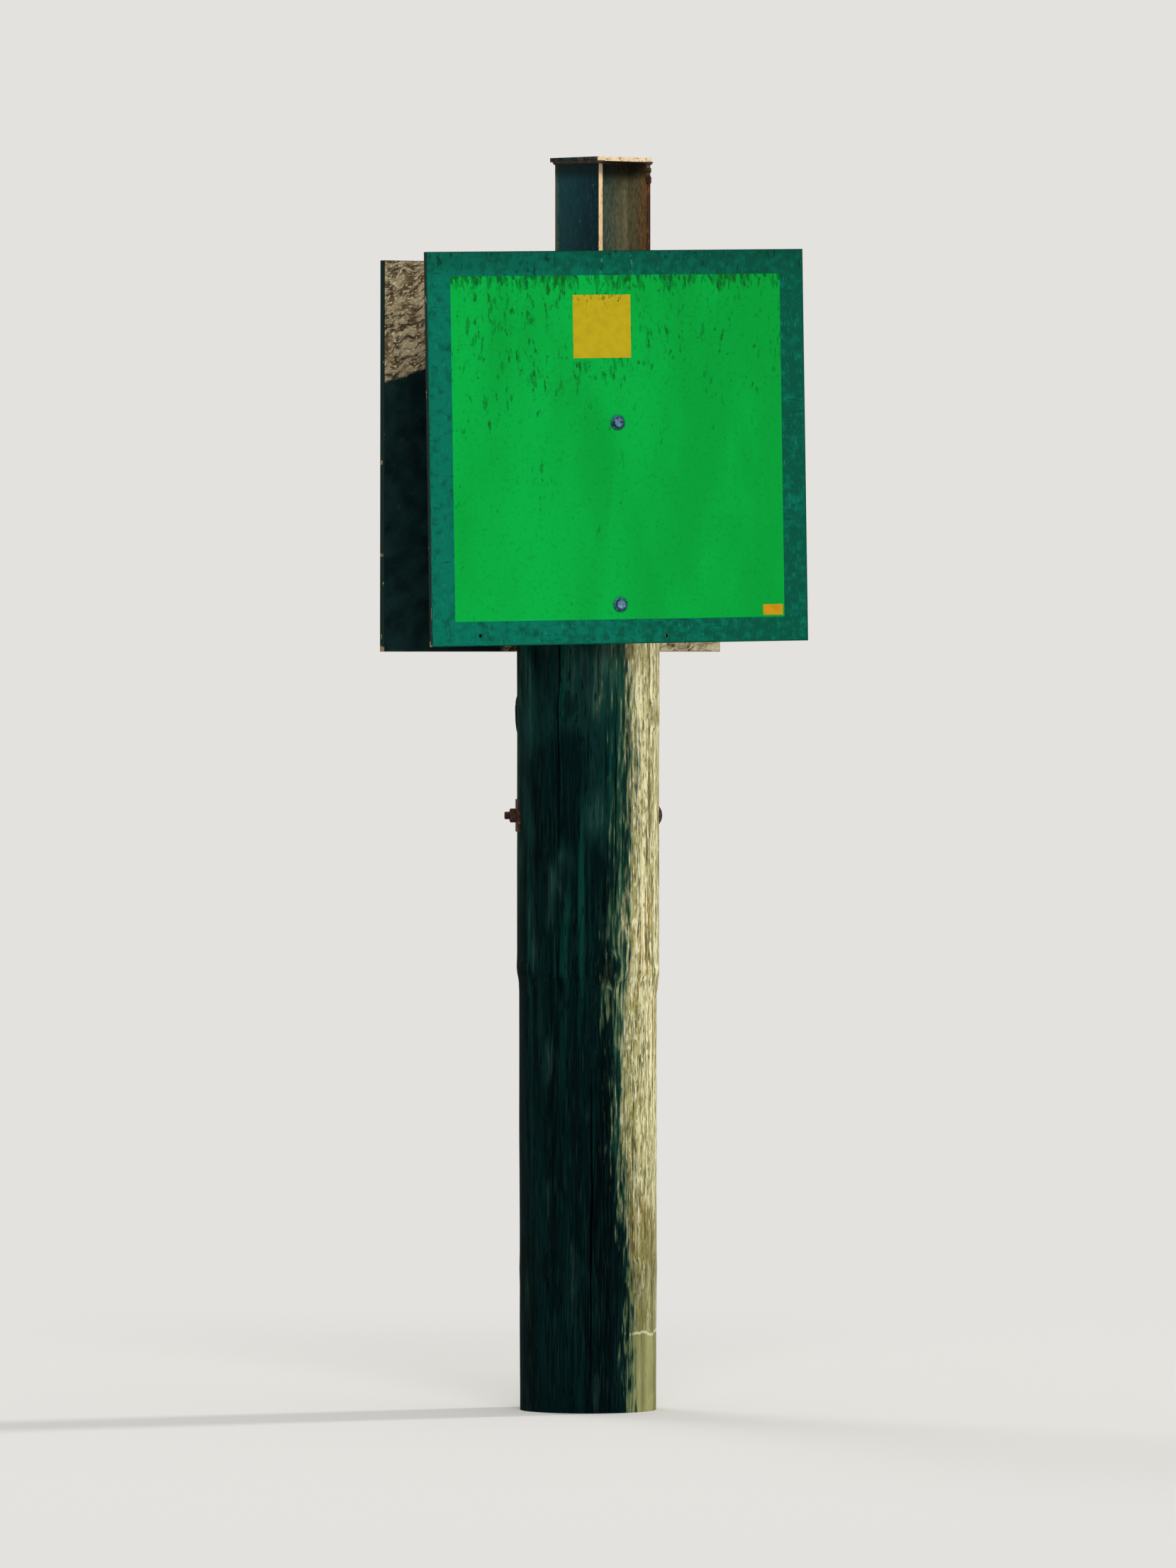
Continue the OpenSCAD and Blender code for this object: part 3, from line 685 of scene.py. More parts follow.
def painted_section():
    """Rolled steel under old blue-grey alkyd paint: brushed and mottled, with a painted highlight
    along one edge, worn pale along the flanges' edges, a pale that is also a painted sunlit highlight,
    rusting brown towards the sheltered side, and with painted shade under the cap."""
    material, tree, point = new_material("alkyd_paint_on_rolled_steel", POST_MIDDLE, POST_AXES,
                                         Roughness=0.62, IOR=1.5, Specular_IOR_Level=0.05)
    parts = add(tree, "SeparateXYZ", [point])
    across, up, deep = (parts.outputs[key] for key in "XYZ")
    half_w, half_d = SECTION_W * 500, SECTION_D * 500

    # Brushed paint, chalking in vertical strokes, with a painted olive highlight along one edge
    drawn = add(tree, "VectorMath", [point, (1, 0.35, 1)], **TIMES)
    brush = add(tree, "TexNoise", [drawn, 1, 1 / 20, 4], **PICKED)
    chalk = add(tree, "TexNoise", [drawn, 2, 1 / 5, 4], **PICKED)
    blister = add(tree, "TexNoise", [point, 3, 1 / 12, 5], **PICKED)
    # Painted highlight: olive along one edge of the face
    side = add(tree, "Math", [chalk, 22.0, across], **TIMES_PLUS)
    paint = coats(tree, "#03212a",
                  (brush, 0.30, 0.70, 1, "#0a2b31"),
                  (across, -half_w, half_w, 0.8, "#184143"),
                  (chalk, 0.52, 0.78, 0.35, "#2f5862"),
                  (side, half_w - 6, half_w + 6, 0.7, "#4b5b48"))

    # Between the flanges the paint is dull olive grey and rusts brown towards the open edges of
    # the sheltered flange
    deepness = add(tree, "Math", [deep], **UNSIGNED)
    inner = add(tree, "MapRange", [deepness, half_d - 4, half_d - 7], **SOFT)
    tan = coats(tree, "#625f45", (chalk, 0.30, 0.70, 1, "#847b5c"))
    olive = coats(tree, "#3a4b42", (chalk, 0.30, 0.70, 1, "#586b5c"), (deep, 0, half_d - 8, 1, tan))
    rust = coats(tree, "#6b4a2b", (chalk, 0.30, 0.70, 1, "#946a3e"))
    reach = add(tree, "Math", [across], **UNSIGNED)
    open_side = add(tree, "Math", [reach, deep], **PLUS)
    spread = add(tree, "Math", [open_side, 0.006, blister], **TIMES_PLUS)
    amount = add(tree, "MapRange", [spread, 1.06, 1.44], **SOFT)
    amount = add(tree, "Math", [amount, inner], **TIMES)
    colour = add(tree, "Mix", [inner, paint, olive], **BLEND)
    colour = add(tree, "Mix", [amount, colour, rust], **BLEND)

    # Flange edges: on one flange rubbed down to pale primer, brightened as a painted sunlit
    #     highlight, on the other deep in rust
    scale = coats(tree, "#3a2415", (chalk, 0.50, 0.70, 1, "#6d4526"))
    worn = coats(tree, "#eccb9c", (chalk, 0.50, 0.70, 1, "#c58f58"), (deep, -10, 10, 1, scale))

    # Painted shade under the cap: near black on the faces, brown on the rubbed edges
    lip = add(tree, "MapRange", [reach, half_w - 1.2, half_w - 0.4], **SOFT)
    low = add(tree, "Math", [chalk, 30.0, up], **TIMES_PLUS)
    cap_shade = add(tree, "Mix", [lip, "#060d0d", "#5a5044"], **BLEND)
    colour = coats(tree, colour,
                   (blister, 0.68, 0.74, 0.8, rust),
                   (reach, half_w - 1.2, half_w - 0.4, 1, worn),
                   (low, POST_HALF - 34, POST_HALF - 6, 0.75, cap_shade))
    rough = add(tree, "MapRange", [amount, 0, 1, 0.55, 0.9])
    return dress(material, colour, 0.0012, blister, (amount, 0.8), roughness=rough)


def painted_plate():
    """Steel plate with the same old paint, rusting from its cut edges inwards; the edges that face
    the weather on the open side are rubbed pale and painted lighter as a sunlit highlight."""
    material, tree, point = new_material("alkyd_paint_on_steel_plate", POST_MIDDLE, POST_AXES,
                                         Roughness=0.7, IOR=1.5, Specular_IOR_Level=0.12)
    across = add(tree, "SeparateXYZ", [point]).outputs["X"]
    brush = add(tree, "TexNoise", [point, 1, 1 / 20, 4], **PICKED)
    scale = add(tree, "TexNoise", [point, 2, 1 / 14, 5], **PICKED)
    grit = add(tree, "TexNoise", [point, 3, 1 / 6, 3], **PICKED)
    rust = coats(tree, "#37261b", (grit, 0.36, 0.64, 1, "#6b4a30"))
    # Rubbed edges on the open side: pale primer with a painted sunlit highlight
    primer_and_highlight = coats(tree, "#ead2ab", (grit, 0.48, 0.70, 1, "#9c7248"))
    colour = coats(tree, "#06161a",
                   (brush, 0.34, 0.66, 1, "#1a2e30"),
                   (scale, 0.50, 0.62, 0.9, rust),
                   (across, CAP_EDGE + 1.5, CAP_EDGE + 0.5, 1, primer_and_highlight))
    return dress(material, colour, 0.0022, scale, (grit, 0.5))


def weld_metal():
    """Arc-welded bead under paint, rippled and rusting."""
    material, tree, point = new_material("painted_weld_bead", POST_MIDDLE, POST_AXES, Roughness=0.75,
                                         IOR=1.5, Specular_IOR_Level=0.15)
    scale = add(tree, "TexNoise", [point, 1, 1 / 7, 4], **PICKED)
    colour = coats(tree, "#203435", (scale, 0.42, 0.58, 1, "#533622"))
    return dress(material, colour, 0.0008, scale)


def rusted_iron():
    """Iron rusted all over: dark brown scale with orange blooms, quite matt and pitted."""
    material, tree, point = new_material("rusted_iron", (0, 0, 0), Roughness=0.9, IOR=1.5,
                                         Specular_IOR_Level=0.15)
    scale = add(tree, "TexNoise", [point, 1, 1 / 6, 5], **PICKED)
    bloom = add(tree, "TexNoise", [point, 2, 1 / 9, 3], **PICKED)
    colour = coats(tree, "#1c1714", (scale, 0.38, 0.62, 1, "#44291d"), (bloom, 0.58, 0.72, 1, "#74431f"))
    return dress(material, colour, 0.0016, scale)


def into_scene(name, data):
    """Makes an object of a mesh, a lamp or a camera, and puts it in the scene."""
    thing = bpy.data.objects.new(name, data)
    bpy.context.scene.collection.objects.link(thing)
    return thing


def new_mesh(name, points, faces, material):
    """Makes a mesh of points and faces, with its material."""
    mesh = bpy.data.meshes.new(name)
    mesh.from_pydata(points, [], faces)
    mesh.update()
    mesh.materials.append(material)
    return mesh


def mesh_piece(name, points, faces, material, sharp):
    """Makes a mesh of the object, shades it smooth up to an angle and lets it ride on the body."""
    mesh = new_mesh(name, points, faces, material)
    mesh.polygons.foreach_set("use_smooth", [True] * len(mesh.polygons))
    mesh.set_sharp_from_angle(angle=math.radians(sharp))
    piece = into_scene(name, mesh)
    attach(piece, "root")
    return piece


def loft(rings, close=True):
    """Points and faces of a skin over rings with the same number of points, its ends closed."""
    around = len(rings[0])
    points = [tuple(p) for ring in rings for p in ring]
    faces = []
    for i in range(len(rings) - 1):
        for j in range(around):
            k = (j + 1) % around
            faces.append((i * around + j, i * around + k, (i + 1) * around + k, (i + 1) * around + j))
    if close:
        last = (len(rings) - 1) * around
        faces.append(tuple(reversed(range(around))))
        faces.append(tuple(range(last, last + around)))
    return points, faces


def smooth(value, low, high):
    """Smooth step from 0 at low to 1 at high, for numbers or arrays."""
    t = np.clip((value - low) / (high - low), 0.0, 1.0)
    return t * t * (3 - 2 * t)


def trunk_radius(z):
    """Radius of the trunk at heights above the bed, its whorls included."""
    r = FOOT_R + (TOP_R - FOOT_R - WHORL_STEP) * z / PILE_TOP
    big = WATERLINE + WHORLS[BIG_WHORL][0]
    r = r + WHORL_STEP * smooth(z, big - WHORL_RUN / 2, big + WHORL_RUN / 2)
    for level, swelling in WHORLS:
        r = r + swelling * np.maximum(0.0, 1 - np.abs(z - WATERLINE - level) / WHORL_RUN)
    return r


def ring_levels():
    """Heights of the pile's rings: close above the water, at the whorls and at every shoulder."""
    levels = list(np.linspace(0, WATERLINE - 0.02, RINGS_BELOW))
    levels += list(np.linspace(WATERLINE, PILE_TOP - TOP_BEVEL, RINGS_ABOVE))
    for level, _ in WHORLS[1:]:
        levels += list(WATERLINE + level + np.linspace(-AROUND_WHORL, AROUND_WHORL, RINGS_AT_WHORL))
    for shoulder in (FRONT_FLAT[2], REAR_FLAT[2], SIDE_BOLT_Z - WASHER_HALF, SIDE_BOLT_Z + WASHER_HALF):
        levels += [shoulder - SHOULDER_GAP, shoulder + SHOULDER_GAP]
    kept = []
    for level in sorted(levels):
        if not kept or level - kept[-1] > 1.5 * SHOULDER_GAP:
            kept.append(level)
    return np.array(kept)


def grain_columns():
    """Columns along the grain: bearing at the bed, and for those in a check its number and place."""
    columns = []
    for number, (bearing, low, length, _, _) in enumerate(CHECKS):
        start = bearing - GRAIN_TURN * (WATERLINE + low + length / 2)
        columns += [(start % 360, number, offset) for offset in ACROSS_CHECK]
    middles = [start for start, _, offset in columns if offset == 0.0]
    for step in range(COLUMNS):
        start = step * 360 / COLUMNS
        if min(abs(gap_round(start - middle)) for middle in middles) > CLEAR_OF_CHECK:
            columns.append((start, -1, 0.0))
    return sorted(columns)


def gap_round(angle):
    """An angle in degrees brought between -180 and 180."""
    return (angle + 180) % 360 - 180


def wander(levels, pick, scale, drift=0):
    """Random values along a check, one for each level; pick tells the checks apart."""
    return np.array([noise.noise(Vector((pick, level * scale, drift))) for level in levels])


def pile_surface():
    z = ring_levels()[:, None]
    start, number, offset = (np.array(column) for column in zip(*grain_columns()))
    bearing = start[None, :] + GRAIN_TURN * z
    radius = trunk_radius(z) + 0 * bearing
    inside = np.zeros_like(radius)
    for k, (_, low, length, width, depth) in enumerate(CHECKS):
        along = (z[:, 0] - WATERLINE - low) / length
        open_share = np.clip(1 - np.abs(2 * along - 1), 0, 1) ** CHECK_TAPER
        wobble = CHECK_WANDER * wander(z[:, 0], k * 3.7, 9.0)
        uneven = 1 + 0.5 * wander(z[:, 0], k * 5.1, 31.0, 7)
        half = np.maximum(CHECK_LEAST, CHECK_HALF * width * open_share * uneven)
        for j in np.flatnonzero(number == k):
            bearing[:, j] += np.degrees((wobble + offset[j] * half) / radius[:, j])
            fall = max(0.0, 1 - abs(offset[j]))
            radius[:, j] -= depth * open_share * fall * CHECK_DEEP
            inside[:, j] = fall * open_share
    return z, bearing, radius, inside


def knot_field(z, bearing, radius):
    """How near each point of the skin is to a knot's middle: 1 there, 0 past its rim."""
    near = np.zeros_like(radius)
    for whorl, turn, rise, half in KNOTS:
        dx = np.radians(gap_round(bearing - turn)) * radius
        dz = z - (WATERLINE + WHORLS[whorl][0] + rise)
        near = np.maximum(near, 1 - np.hypot(dx, dz * KNOT_SQUASH) / (KNOT_REACH * half))
    return near


def skin_relief(z, bearing, radius):
    """Hollows and ridges of the peeled trunk, in metres."""
    angle = np.radians(bearing)
    x = np.cos(angle) * radius
    y = np.sin(angle) * radius
    relief = np.zeros_like(radius)
    for tall, across, along in (HOLLOWS, RIDGES):
        for (i, j), _ in np.ndenumerate(relief):
            spot = Vector((x[i, j] * across, y[i, j] * across, z[i, 0] * along))
            relief[i, j] += tall * noise.noise(spot)
    return relief


def cut_flats(z, bearing, radius):
    """Brings the skin back to the flats under the batten, the rear board and the side bolt."""
    trunk = float(trunk_radius(np.array(SIDE_BOLT_Z)))
    beside = np.sin(np.radians(gap_round(bearing - SIDE_BEARING))) * radius
    under_dome = np.hypot(beside, z - SIDE_BOLT_Z) < DOME_D / 2 + DOME_CLEAR
    under_washer = np.abs(z - SIDE_BOLT_Z) < WASHER_HALF
    for turn, seat, here in ((FRONT_FLAT[0], FRONT_FLAT[1], z > FRONT_FLAT[2]),
                             (REAR_FLAT[0], REAR_FLAT[1], z > REAR_FLAT[2]),
                             (SIDE_BEARING, trunk - DOME_SPOT, under_dome),
                             (SIDE_BEARING + 180, trunk - WASHER_FLAT, under_washer)):
        away = np.radians(np.abs(gap_round(bearing - turn)))
        reach = seat / np.cos(np.minimum(away, FLAT_REACH))
        radius = np.where(here & (away < FLAT_REACH), np.minimum(radius, reach), radius)
    return radius


def pile_piece():
    """The pile's skin as one closed mesh, with its checks, knots, flats and sawn ends."""
    z, bearing, radius, inside = pile_surface()
    near = knot_field(z, bearing, radius)
    radius = radius + KNOT_OUT * smooth(near, *KNOT_SHOULDER)
    radius = radius + skin_relief(z, bearing, radius)
    radius = cut_flats(z, bearing, radius)
    rows = [(z + 0 * radius, bearing, radius)]
    rim = radius[-1:]
    for shrink in (TOP_BEVEL / TOP_R, 0.2, 0.45, 0.75):
        rows.append((PILE_TOP + 0 * rim, bearing[-1:], rim * (1 - shrink)))
    rings = [np.stack((np.cos(np.radians(b)) * r, np.sin(np.radians(b)) * r, level), axis=-1)
             for level, b, r in rows]
    points, faces = loft(np.concatenate(rings).tolist(), close=False)
    foot, crown = len(points), len(points) + 1
    points += [(0, 0, 0), (0, 0, PILE_TOP)]
    around = radius.shape[1]
    for j in range(around):
        k = (j + 1) % around
        faces.append((foot, k, j))
        faces.append((crown, foot - around + j, foot - around + k))
    piece = mesh_piece("pile_timber", points, faces, treated_pine(), 38.0)
    for name, values in (("knot", np.clip(near, 0, 1)), ("check", inside)):
        attribute = piece.data.attributes.new(name, "FLOAT", "POINT")
        padded = np.append(values.ravel(), np.zeros(len(points) - values.size))
        attribute.data.foreach_set("value", padded.astype(np.float32))
    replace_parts(piece, "pile")
    return piece


def spans(node, axes):
    """Lowest and highest corner of a node along a piece's own axes."""
    back = axes.transposed()
    points = [back @ vertex.co for vertex in frame["nodes"][node].data.vertices]
    low = Vector(min(p[i] for p in points) for i in range(3))
    high = Vector(max(p[i] for p in points) for i in range(3))
    return low, high


def circle(radius, height, steps):
    """Points of a ring about the third axis; each measure is a number or a function of the angle."""
    ring = []
    for step in range(steps):
        angle = 2 * math.pi * step / steps
        r = radius(angle) if callable(radius) else radius
        h = height(angle) if callable(height) else height
        ring.append((r * math.cos(angle), r * math.sin(angle), h))
    return ring


def hexagon(across):
    """Radius of a hexagon at an angle, for its width across flats."""
    return lambda angle: across / 2 / math.cos((angle + math.pi / 6) % (math.pi / 3) - math.pi / 6)


def placed(points, axes, middle):
    """Points turned onto a piece's own axes and moved to its middle."""
    return [tuple(axes @ Vector(p) + middle) for p in points]


def on_axis(low, high, axes, level):
    """Point on the axis of a screw, washer or nut that spans from low to high, at a level."""
    return axes @ Vector(((low.x + high.x) / 2, (low.y + high.y) / 2, level))


def hexagon_rings(across, height):
    """Rings of a hexagon head from its underside up, its top corners turned down to a cone."""
    outline = hexagon(across)
    flat = across / 2 * 0.96
    rings = ((across / 2 * 0.93, 0.0), (lambda a: outline(a) - 0.0002, 0.0004),
             (outline, lambda a: height - (outline(a) - flat) * HEAD_LEAN),
             (flat, height), (flat * 0.6, height - 0.0002))
    return [circle(radius, level, SCREW_STEPS) for radius, level in rings]


def lag_screw_piece(node, axes, material):
    """Hot-dipped lag screw: a chamfered hexagon head, a plain neck and a coarse tapered thread."""
    low, high = spans(node, axes)
    head = SCREW_D * HEAD_SHARE
    tip = head - (high.z - low.z)
    point = SCREW_D * 0.9
    outline = [(0.0008, tip)]
    for turn in range(int(-tip * LAG_THREADED / LAG_PITCH)):
        base = tip + point * 0.3 + turn * LAG_PITCH
        grow = min(1.0, 0.45 + (base - tip) / point * 0.6)
        outline.append((SCREW_D / 2 * LAG_ROOT * grow, base))
        outline.append((SCREW_D / 2 * grow, base + LAG_PITCH * 0.5))
    outline += [(SCREW_D / 2, outline[-1][1] + LAG_PITCH), (SCREW_D / 2, -0.0001)]
    rings = [circle(radius, level, SCREW_STEPS) for radius, level in outline]
    points, faces = loft(rings + hexagon_rings(SCREW_D * OVER_FLATS, head))
    points = placed(points, axes, on_axis(low, high, axes, high.z - head))
    piece = mesh_piece(node + "_lag", points, faces, material, 25.0)
    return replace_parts(piece, node)


def washer_piece(node, axes, material):
    """Round cut washer with rolled edges, seated on the film."""
    low, high = spans(node, axes)
    hole = SCREW_D / 2 + 0.0008
    rim = WASHER_D / 2
    soft = 0.0007
    outline = [(hole, soft), (hole, WASHER_T - soft), (hole + soft, WASHER_T), (rim - soft * 2, WASHER_T),
               (rim - soft * 0.6, WASHER_T - soft * 0.6), (rim, WASHER_T - soft * 2), (rim, soft),
               (rim - soft, 0.0), (hole + soft, 0.0)]
    rings = [circle(radius, level, WASHER_STEPS) for radius, level in outline]
    points, faces = loft(rings + rings[:1], close=False)
    points = placed(points, axes, on_axis(low, high, axes, low.z))
    piece = mesh_piece(node + "_zinc", points, faces, material, 40.0)
    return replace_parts(piece, node)


def side_axes():
    """Axes of the side bolt, the third along it towards its domed head."""
    along = heading(SIDE_BEARING)
    up = Vector((0, 0, 1))
    return Matrix((up.cross(along), up, along)).transposed()


def side_bolt_piece(material):
    """Timber bolt with a domed head that rust has pitted, and a thread cut on its other end."""
    axes = side_axes()
    low, high = spans("side_bolt", axes)
    seat = high.z - DOME_H
    ball = ((DOME_D / 2) ** 2 + DOME_H ** 2) / (2 * DOME_H)

    def thread(angle):
        turns = level / SIDE_PITCH + angle / 2 / math.pi
        return SIDE_D / 2 - THREAD_DEEP * abs(2 * (turns % 1) - 1)

    rings = [circle(SIDE_D / 2 * 0.8, low.z, BOLT_STEPS)]
    level = low.z + 0.002
    while level < low.z + SIDE_THREAD:
        rings.append(circle(thread, level, BOLT_STEPS))
        level += SIDE_PITCH / 4
    outline = [(SIDE_D / 2, level + 0.003), (SIDE_D / 2, seat - 0.0002), (DOME_D / 2 - 0.0008, seat)]
    for share_up in (0.0, 0.12, 0.3, 0.5, 0.68, 0.84, 0.95):
        rise = DOME_H * (0.08 + 0.92 * share_up)
        outline.append((math.sqrt(max(0.0, ball ** 2 - (ball - DOME_H + rise) ** 2)), seat + rise))
    rings += [circle(radius, height, BOLT_STEPS) for radius, height in outline]
    points, faces = loft(rings)
    pitted = [(x, y, h - PITS * abs(noise.noise(Vector((x, y, h)) * 220)) * (h > seat))
              for x, y, h in points]
    pitted = placed(pitted, axes, on_axis(low, high, axes, 0))
    piece = mesh_piece("side_bolt_iron", pitted, faces, material, 40.0)
    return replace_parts(piece, "side_bolt")


def side_nut_piece(material):
    """Hexagon nut with both faces turned down at the corners."""
    axes = side_axes()
    low, high = spans("side_nut", axes)
    outline = hexagon(SIDE_D * OVER_FLATS)
    flat = SIDE_D * OVER_FLATS / 2 * 0.95
    hole = SIDE_D / 2 + 0.0002
    rings = ((hole, low.z), (flat, low.z), (outline, lambda a: low.z + (outline(a) - flat) * HEAD_LEAN),
             (outline, lambda a: high.z - (outline(a) - flat) * HEAD_LEAN), (flat, high.z), (hole, high.z))
    rings = [circle(radius, level, SCREW_STEPS) for radius, level in rings]
    points, faces = loft(rings + rings[:1], close=False)
    points = placed(points, axes, on_axis(low, high, axes, 0))
    piece = mesh_piece("side_nut_iron", points, faces, material, 25.0)
    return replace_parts(piece, "side_nut")


def section_corners():
    """Corners of the steel section, in order round it, in its own axes."""
    w, d, t, s = SECTION_W / 2, SECTION_D / 2, WEB_T / 2, SECTION_D / 2 - FLANGE_T
    return [(-w, -d), (w, -d), (w, -s), (t, -s), (t, s), (w, s), (w, d), (-w, d), (-w, s), (-t, s),
            (-t, -s), (-w, -s)]


def post_piece(name, points, faces, material, sharp):
    """Piece that sits on the post, from points in its own axes."""
    middle = Vector((POST_MIDDLE.x, POST_MIDDLE.y, 0))
    return mesh_piece(name, placed(points, POST_AXES, middle), faces, material, sharp)


def weld_piece(name, level, rise, material):
    """Fillet weld all round the section where it meets a plate; rise is 1 above it and -1 below."""
    bead = ((-0.3, -0.1), (1.0, -0.1), (0.86, 0.34), (0.55, 0.62), (0.3, 0.88), (-0.3, 1.0))
    points, faces = [], []
    corners = section_corners()
    for (x0, y0), (x1, y1) in zip(corners, corners[1:] + corners[:1]):
        along = Vector((x1 - x0, y1 - y0))
        length = along.length
        along.normalize()
        outward = Vector((along.y, -along.x))
        steps = max(3, int(length / WELD_STEP))
        rings = []
        for step in range(-2, steps + 3):
            s = length * step / steps
            ripple = 1 + WELD_WAVE * math.sin(s / WELD_RIPPLE * 2 * math.pi)
            ripple += WELD_UNEVEN * noise.noise(Vector((s * 60, x0 * 40, y0 * 40)))
            end = WELD_END if step in (-2, steps + 2) else 1.0
            reach = WELD_LEG * ripple * end
            base = Vector((x0, y0)) + along * s
            spots = [(base + outward * (reach * out), reach * up) for out, up in bead]
            rings.append([(spot.x, level + rise * up, spot.y) for spot, up in spots])
        more, skin = loft(rings)
        faces += [tuple(index + len(points) for index in face) for face in skin]
        points += more
    return post_piece(name, points, faces, material, 50.0)


def rust_lump_piece(name, drop, tall, proud, material):
    """Lump of layered rust that has burst from the sheltered flange's edge, below the cap."""
    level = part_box("cap_plate")[0].z - drop
    rings = []
    for step in range(1, LUMP_RINGS):
        rise = math.pi * (step / LUMP_RINGS - 0.5)
        ring = []
        for spoke in range(LUMP_SPOKES):
            turn = 2 * math.pi * spoke / LUMP_SPOKES
            way = Vector((math.cos(turn), math.tan(rise), -math.sin(turn))) * math.cos(rise)
            swell = 1 + LUMP_UNEVEN * noise.noise(way * 2.2 + Vector((0, level * 90, 0)))
            ring.append((-SECTION_W / 2 + way.x * proud * swell, level + way.y * tall / 2 * swell,
                         SECTION_D / 2 - FLANGE_T / 2 + way.z * FLANGE_T * 0.62 * swell))
        rings.append(ring)
    points, faces = loft(rings)
    return post_piece(name, points, faces, material, 60.0)


def finish_node(material, *nodes):
    """Gives CAD nodes a material of their own."""
    for node in nodes:
        mesh = frame["nodes"][node].data
        mesh.materials.clear()
        mesh.materials.append(material)


def dress_boards():
    """Finishes of both boards and their films."""
    sides = (("front", FRONT_MIDDLE, FRONT_AXES, -1), ("rear", REAR_MIDDLE, REAR_AXES, 1))
    for side, middle, axes, shadow_side in sides:
        low, high = spans(side + "_square", axes)
        square = (Vector(((low.x + high.x) / 2, low.y, 0)) - axes.transposed() @ middle) * 1000
        patch = middle_of(side + "_square")
        finish_node(bare_plywood(side + "_fir_plywood", middle, axes, shadow_side), side + "_board")
        finish_node(dark_green_sheeting(side + "_dark_green_sheeting", middle, axes), side + "_border")
        finish_node(green_sheeting(side + "_green_sheeting", middle, axes, square), side + "_field")
        finish_node(yellow_sheeting(side + "_yellow_sheeting", patch, axes), side + "_square")
    label = middle_of("front_sticker")
    finish_node(yellow_sheeting("orange_vinyl_label", label, FRONT_AXES, "#cd9613", "#b8830f"),
                "front_sticker")


def dress_fasteners(iron):
    """Screws and washers of the boards and the base plate, and the bolt through the pile."""
    # The blue in these zinc colours is a painted reflection of the sky
    zinc = hot_dip_zinc("hot_dip_zinc_head", "#3d5f78", "#7a97b0")
    worn_zinc = hot_dip_zinc("hot_dip_zinc_washer", "#1c4450", "#3f6f7c")
    for side, axes in (("front", FRONT_AXES), ("rear", REAR_AXES)):
        for place in ("upper", "lower"):
            lag_screw_piece(f"{side}_screw_{place}", axes, zinc)
            washer_piece(f"{side}_washer_{place}", axes, worn_zinc)
    upright = Matrix.Rotation(math.radians(POST_TURN), 3, "Z")
    for number in range(1, 5):
        lag_screw_piece(f"base_screw_{number}", upright, zinc)
    side_bolt_piece(iron)
    side_nut_piece(iron)
    finish_node(iron, "side_washer")


def dress_post(iron):
    """Steel post, its two plates and the welds between them."""
    finish_node(painted_section(), "stub_post")
    finish_node(painted_plate(), "base_plate", "cap_plate")
    bead = weld_metal()
    rust_lump_piece("rust_lump_upper", 0.020, 0.013, 0.0042, iron)
    rust_lump_piece("rust_lump_lower", 0.041, 0.020, 0.0050, iron)
    weld_piece("weld_at_base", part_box("stub_post")[0].z, 1, bead)
    weld_piece("weld_at_cap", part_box("stub_post")[1].z, -1, bead)


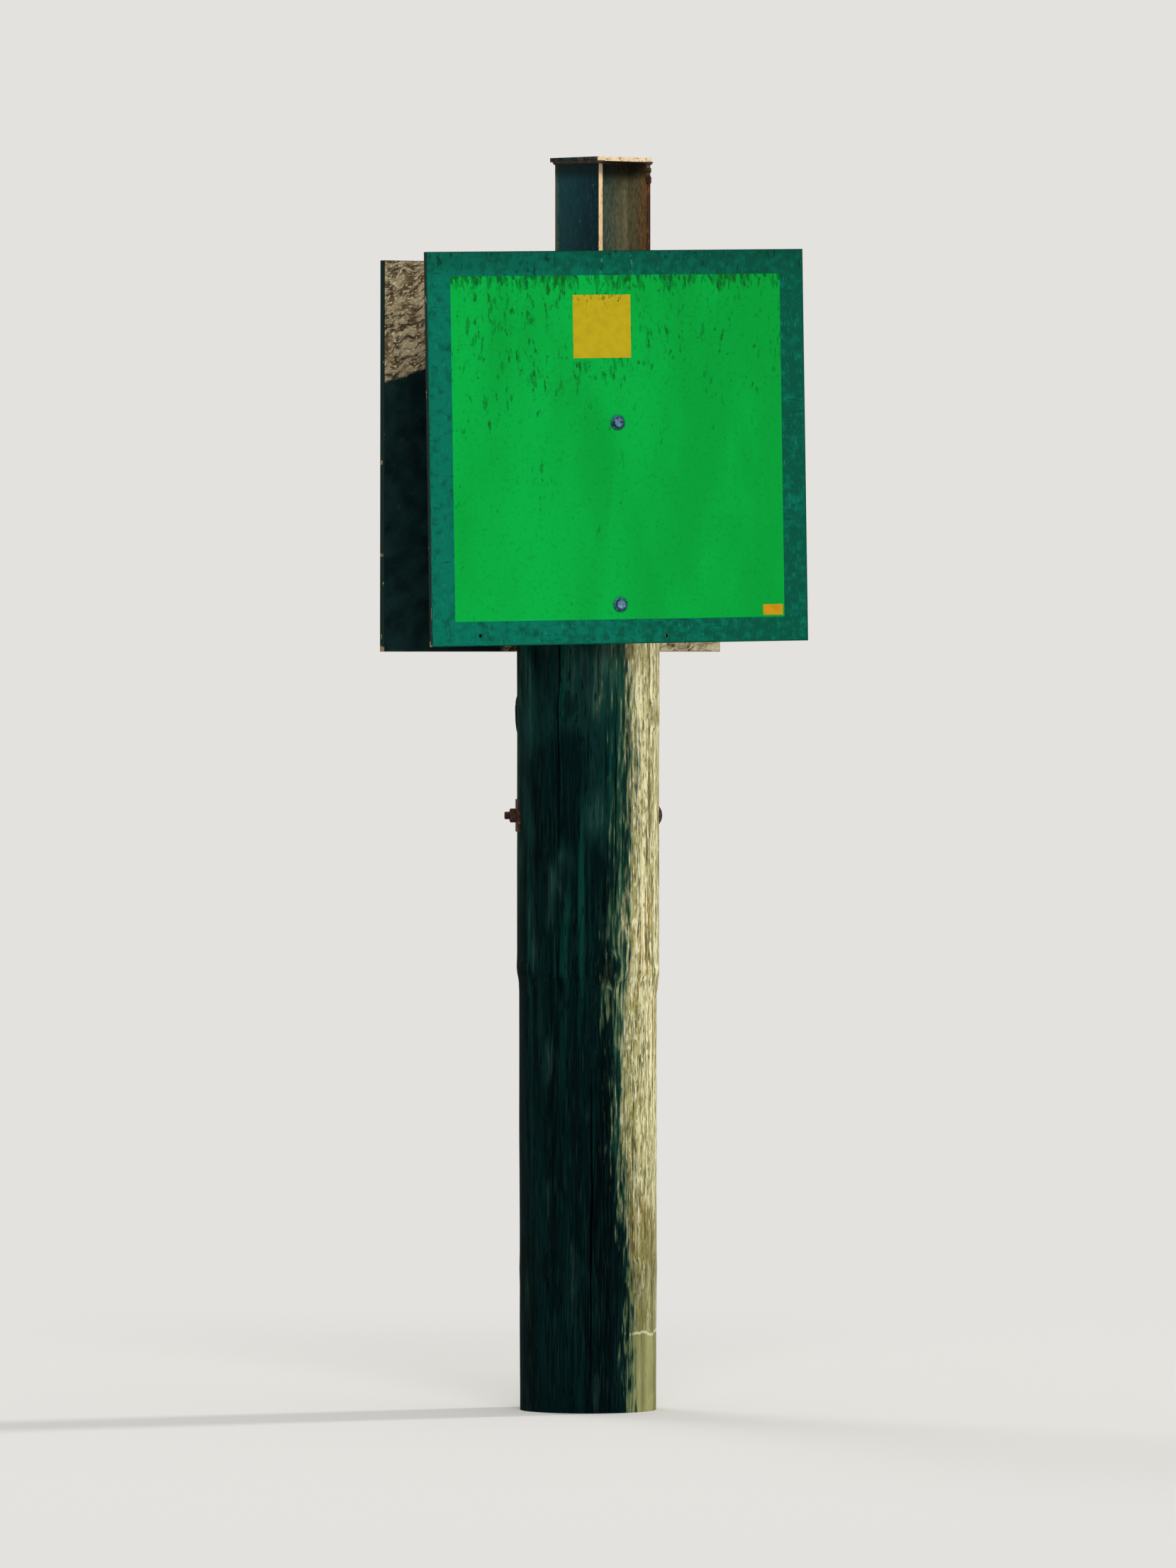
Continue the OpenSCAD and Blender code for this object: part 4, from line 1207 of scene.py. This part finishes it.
def floor():
    """Pale floor at the waterline, which fades into the background away from the pile."""
    material = bpy.data.materials.new("pale_paper_floor")
    material.use_nodes = True
    tree = material.node_tree
    tree.nodes.remove(tree.nodes["Principled BSDF"])
    place = add(tree, "TexCoord").outputs["Object"]
    away = add(tree, "VectorMath", [place], operation="LENGTH")
    far = add(tree, "MapRange", [away, 1.2, 5.5], **SOFT)
    camera_ray = add(tree, "LightPath").outputs["Is Camera Ray"]
    far = add(tree, "Math", [far, camera_ray], **TIMES)
    paper = add(tree, "BsdfDiffuse", [FLOOR_COLOUR])
    glow = add(tree, "Emission", [BACKGROUND])
    surface = add(tree, "MixShader", [far, paper, glow])
    tree.links.new(surface.outputs[0], tree.nodes["Material Output"].inputs["Surface"])
    points, faces = loft([circle(radius, 0.0, FLOOR_STEPS) for radius in FLOOR_RINGS], close=False)
    faces.append(tuple(range(FLOOR_STEPS)))
    piece = into_scene("floor", new_mesh("floor", points, faces, material))
    piece.location.z = WATERLINE


def world():
    """Even light from all round, and a pale background for the camera and for reflections."""
    scene_world = bpy.data.worlds.new("studio")
    scene_world.use_nodes = True
    tree = scene_world.node_tree
    tree.nodes.remove(tree.nodes["Background"])
    rays = add(tree, "LightPath").outputs
    seen = add(tree, "Math", [rays["Is Camera Ray"], rays["Is Glossy Ray"]], **PLUS)
    seen = add(tree, "Math", [seen, rays["Is Transmission Ray"]], **PLUS)
    light = add(tree, "Background", ["#ffffff", WORLD_LIGHT])
    shown = add(tree, "Background", [BACKGROUND, 1.0])
    both = add(tree, "MixShader", [seen, light, shown])
    tree.links.new(both.outputs[0], tree.nodes["World Output"].inputs["Surface"])
    bpy.context.scene.world = scene_world


def lamp(name, bearing, rise, strength, softness):
    """Soft white lamp far away, seen from the pile at a bearing from +X and a height in degrees."""
    data = bpy.data.lights.new(name, "SUN")
    data.energy = strength
    data.angle = math.radians(softness)
    into_scene(name, data).rotation_euler = heading(bearing, rise).to_track_quat("Z", "Y").to_euler()


def lights():
    """Key from the right, as in the photograph, a fill from the front and a weak one from behind."""
    lamp("key", 8.0, 20.0, 2.0, 8.0)
    lamp("front_fill", -100.0, 30.0, 1.2, 30.0)
    lamp("back_fill", 110.0, 35.0, 0.7, 30.0)


def camera():
    """Camera at the photograph's place, with a longer lens that is aimed at the part above water."""
    data = bpy.data.cameras.new("camera")
    data.lens = LENS
    data.clip_end = 200.0
    eye = into_scene("camera", data)
    eye.location = heading(CAMERA_TURN - 90) * CAMERA_FAR + Vector((0, 0, WATERLINE + CAMERA_UP))
    aim = Vector((0, 0, (WATERLINE + cad_box[1].z) / 2))
    eye.rotation_euler = (aim - eye.location).to_track_quat("-Z", "Y").to_euler()
    bpy.context.scene.camera = eye


pile_piece()
dress_boards()
finish_node(sawn_pine(), "front_batten")
rusty = rusted_iron()
dress_fasteners(rusty)
dress_post(rusty)
floor()
world()
lights()
camera()
bpy.context.scene.view_settings.view_transform = "Standard"
